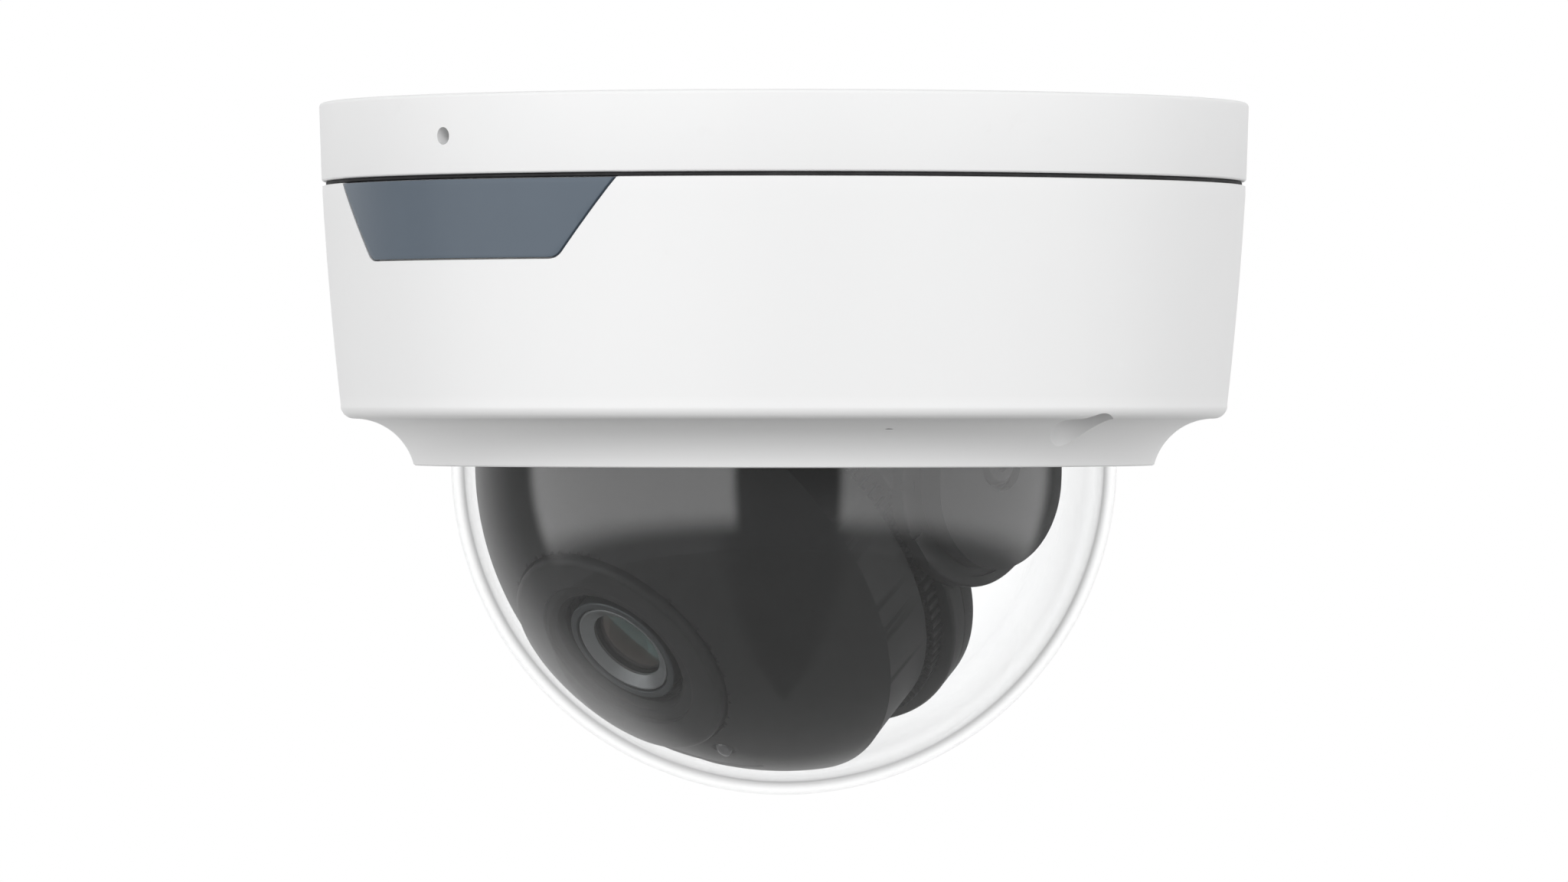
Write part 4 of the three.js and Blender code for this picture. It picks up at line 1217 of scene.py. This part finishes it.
def moulded_white(tree, tone):
    """White satin plastic with an even fine grain and faint clouding."""
    cloud = tree.noise(18, 2)
    grain = tree.noise(0.24, 2, 0.55)
    speck = tree.noise(3.0, 4).step(0.7, 0.82) * 0.04
    clean = tree.blend(cloud, rgb(tone, tone, tone), rgb(tone * 0.98, tone * 0.982, tone * 0.985))
    return {
        "Base Color": tree.blend(speck, clean, rgb(0.55, 0.53, 0.5)),
        "Roughness": 0.42 + cloud * 0.06 + grain * 0.08,
        "IOR": 1.5,
        "Normal": tree.bump(grain, 0.006, 0.5),
    }


white_plastic = look("white_plastic", moulded_white, 0.87)
lip_angle = math.degrees(math.atan2(-42 - COVE[1], LIP_R - COVE[0]))
side_points = cover_side(24)
outside = [(COVER_R - 0.25, cover_high.z), (COVER_R - 0.06, cover_high.z - 0.07), *side_points[1:]]
outside += arc(*SHOULDER, 0, -90, 12)[1:]
outside += arc(*COVE, 90, lip_angle, 28)[1:]
outside += [(LIP_R - 0.06, cover_low.z + 0.12), (LIP_R - 0.25, cover_low.z)]
inside = rounded([
    (LIP_HOLE_R, cover_low.z, 0.15), (LIP_HOLE_R, -40.2, 0.1), (42.3, -40.2), (43, -38.6, 1), (44.6, -37, 1),
    (46.6, -36, 1), (48.9, -35.3), (49.8, -33.8), *cover_side(10, COVER_WALL)[::-1][1:-1],
    (COVER_R - COVER_WALL, cover_high.z)
])
cover = turned("cover", [*outside, *inside], 256)
filled = turned("filled", [*outside, (0, cover_low.z), (0, cover_high.z)], 256)
tubes = [around(rod(5, -31, -39.5, 64), side, PILLAR_R0) for side in (0, 180)]
CLAMP_SCREWS = {"count": 3, "start": 90, "radius": 45.6}
CLAMP_PLACES = [(angle, CLAMP_SCREWS["radius"]) for angle in angles_of(CLAMP_SCREWS)]
tubes += [around(rod(2.2, -35.9, -39.5, 40), *place) for place in CLAMP_PLACES]
inner_posts = carved(tubes[0], "UNION", *tubes[1:])
carved(inner_posts, "INTERSECT", filled)
carved(cover, "UNION", inner_posts)
pockets = []
for side in (0, 180):
    pockets.append(around(rod(POCKET_R, POCKET_TOP, -45, 72), side, PILLAR_R0))
    pockets.append(around(rod(1.7, -30, -34, 40), side, PILLAR_R0))
pockets += [around(rod(1.1, -35, -38, 32), *place) for place in CLAMP_PLACES]

# Badge. A blank slate-grey plate, wider at its top edge, let into the front of the cover's wall
# so that its face follows the wall.
BADGE = {"top": -9.75, "bottom": -18.65, "half_top": 22.5, "half_bottom": 15.3, "corner": 2, "thick": 0.8}


def badge_wedge(margin, top, depth, proud):
    """The badge's outline seen from the front, filled between two offsets of the cover's side."""
    lean = (BADGE["half_top"] - BADGE["half_bottom"]) / (BADGE["top"] - BADGE["bottom"])
    low = BADGE["bottom"] - margin
    low_half = BADGE["half_bottom"] + margin
    top_half = low_half + lean * (top - low)
    corner = BADGE["corner"] + margin
    flat = rounded([(-top_half, top), (-low_half, low, corner), (low_half, low, corner), (top_half, top)], 10)
    prism = moved(slab(flat, 20, 60), spin(90, "X"))
    face = cover_side(24, -proud, 1.5)
    behind = cover_side(24, depth, 1.5)
    sleeve = turned("sleeve", [*face, *behind[::-1]], 256)
    return carved(sleeve, "INTERSECT", prism)


carved(cover, "DIFFERENCE", badge_wedge(0.2, cover_high.z + 1, BADGE["thick"] + 0.3, 1.0), *pockets)
fitted(cover, "cover_shell_fine", "cover", white_plastic, "white_plastic", "cover_shell")


def slate_moulding(tree):
    """Blue-grey satin plastic with a very fine grain."""
    cloud = tree.noise(6, 2)
    grain = tree.noise(0.14, 2)
    return {
        "Base Color": tree.blend(cloud, rgb(0.088, 0.115, 0.148), rgb(0.1, 0.13, 0.165)),
        "Roughness": 0.36 + cloud * 0.05 + grain * 0.08,
        "Normal": tree.bump(grain, 0.006, 0.4),
    }


slate_plastic = look("slate_plastic", slate_moulding)
badge = softened(badge_wedge(0.0, BADGE["top"], BADGE["thick"], -0.02), 0.12, 2, 40)
fitted(badge, "badge_plate_fine", "cover", slate_plastic, "slate_plastic", "badge_plate")

# ---------------------------------------------------------------------------------------------
# Dome. Clear polished polycarbonate, blown to a hemisphere with a flat flange, clamped into the
# cover on a rubber gasket by a black ring with three screws.
DOME_R = 39.06
DOME_INNER_R = 37.56
DOME_Z = -41.98
FLANGE_R = 42
FLANGE_LOW = -39.3
FLANGE_HIGH = -37.8


def clear_dome_material():
    """Clear plastic that bends and mirrors light, but lets it straight through to the ball."""
    material = bpy.data.materials.new("clear_dome")
    material.use_nodes = True
    tree = Tree(material.node_tree)
    haze = tree.noise(6, 2)
    clear = tree.node("ShaderNodeBsdfPrincipled", None, {
        "Base Color": tree.blend(haze, rgb(0.975, 0.978, 0.98), rgb(0.982, 0.984, 0.986)),
        "Roughness": 0.0,
        "IOR": 1.58,
        "Specular IOR Level": 0.7,
        "Transmission Weight": 1.0,
    })
    straight = tree.node("ShaderNodeBsdfTransparent", None, {"Color": rgb(0.93, 0.935, 0.94)})
    shade = tree.node("ShaderNodeLightPath", output="Is Shadow Ray")
    mixed = tree.node("ShaderNodeMixShader", None, {0: shade, 1: clear, 2: straight})
    tree.node("ShaderNodeOutputMaterial", None, {"Surface": mixed})
    return material


clear_dome = clear_dome_material()
dome = turned("dome", [
    (0, DOME_Z - DOME_R), *arc(0, DOME_Z, DOME_R, -90, 0, 72)[1:],
    (DOME_R, FLANGE_LOW), (FLANGE_R, FLANGE_LOW), (FLANGE_R, FLANGE_HIGH), (DOME_INNER_R, FLANGE_HIGH),
    *arc(0, DOME_Z, DOME_INNER_R, 0, -90, 72)[:-1], (0, DOME_Z - DOME_INNER_R)
], 256)
fitted(dome, "dome_bubble_fine", "cover", clear_dome, "clear_dome", "dome_bubble")
dome_gasket = washer("dome_gasket", 42, 39.8, -40.1, -39.45, 0.2)
fitted(dome_gasket, "dome_gasket_fine", "cover", black_rubber, "black_rubber", "dome_gasket")

clamp = turned("clamp", rounded([
    (38.9, -37.6, 0.2), (43.3, -37.6, 0.2), (43.3, -35.6, 0.3),
    (47, -35.5, 0.2), (47, -34.8, 0.2), (38.9, -34.8, 0.3)
]))
clamp_cuts = [around(rod(1.1, -33, -39, 32), *place) for place in CLAMP_PLACES]
clamp_cuts += [moved(oblong(8, 12, -39, -33, 0.6), shift(side * 46.6, 0, 0)) for side in (1, -1)]
carved(clamp, "DIFFERENCE", *clamp_cuts)
fitted(clamp, "dome_clamp_ring_fine", "cover", black_plastic, "black_plastic", "dome_clamp_ring")
clamp_screws = [f"clamp_screw_{number}" for number in (1, 2, 3)]
screws("clamp_screws", "cover", CLAMP_SCREWS, 1.7, 0.9, 0.8, -34.6, -37.6, *clamp_screws)
COVER_SCREWS = {"count": 2, "start": 0, "radius": PILLAR_R0}
cover_screws = [f"cover_screw_{word}" for word in ("right", "left")]
screws("cover_screws", "cover", COVER_SCREWS, 2.8, 2.4, 1, POCKET_TOP - 0.1, -20, *cover_screws)
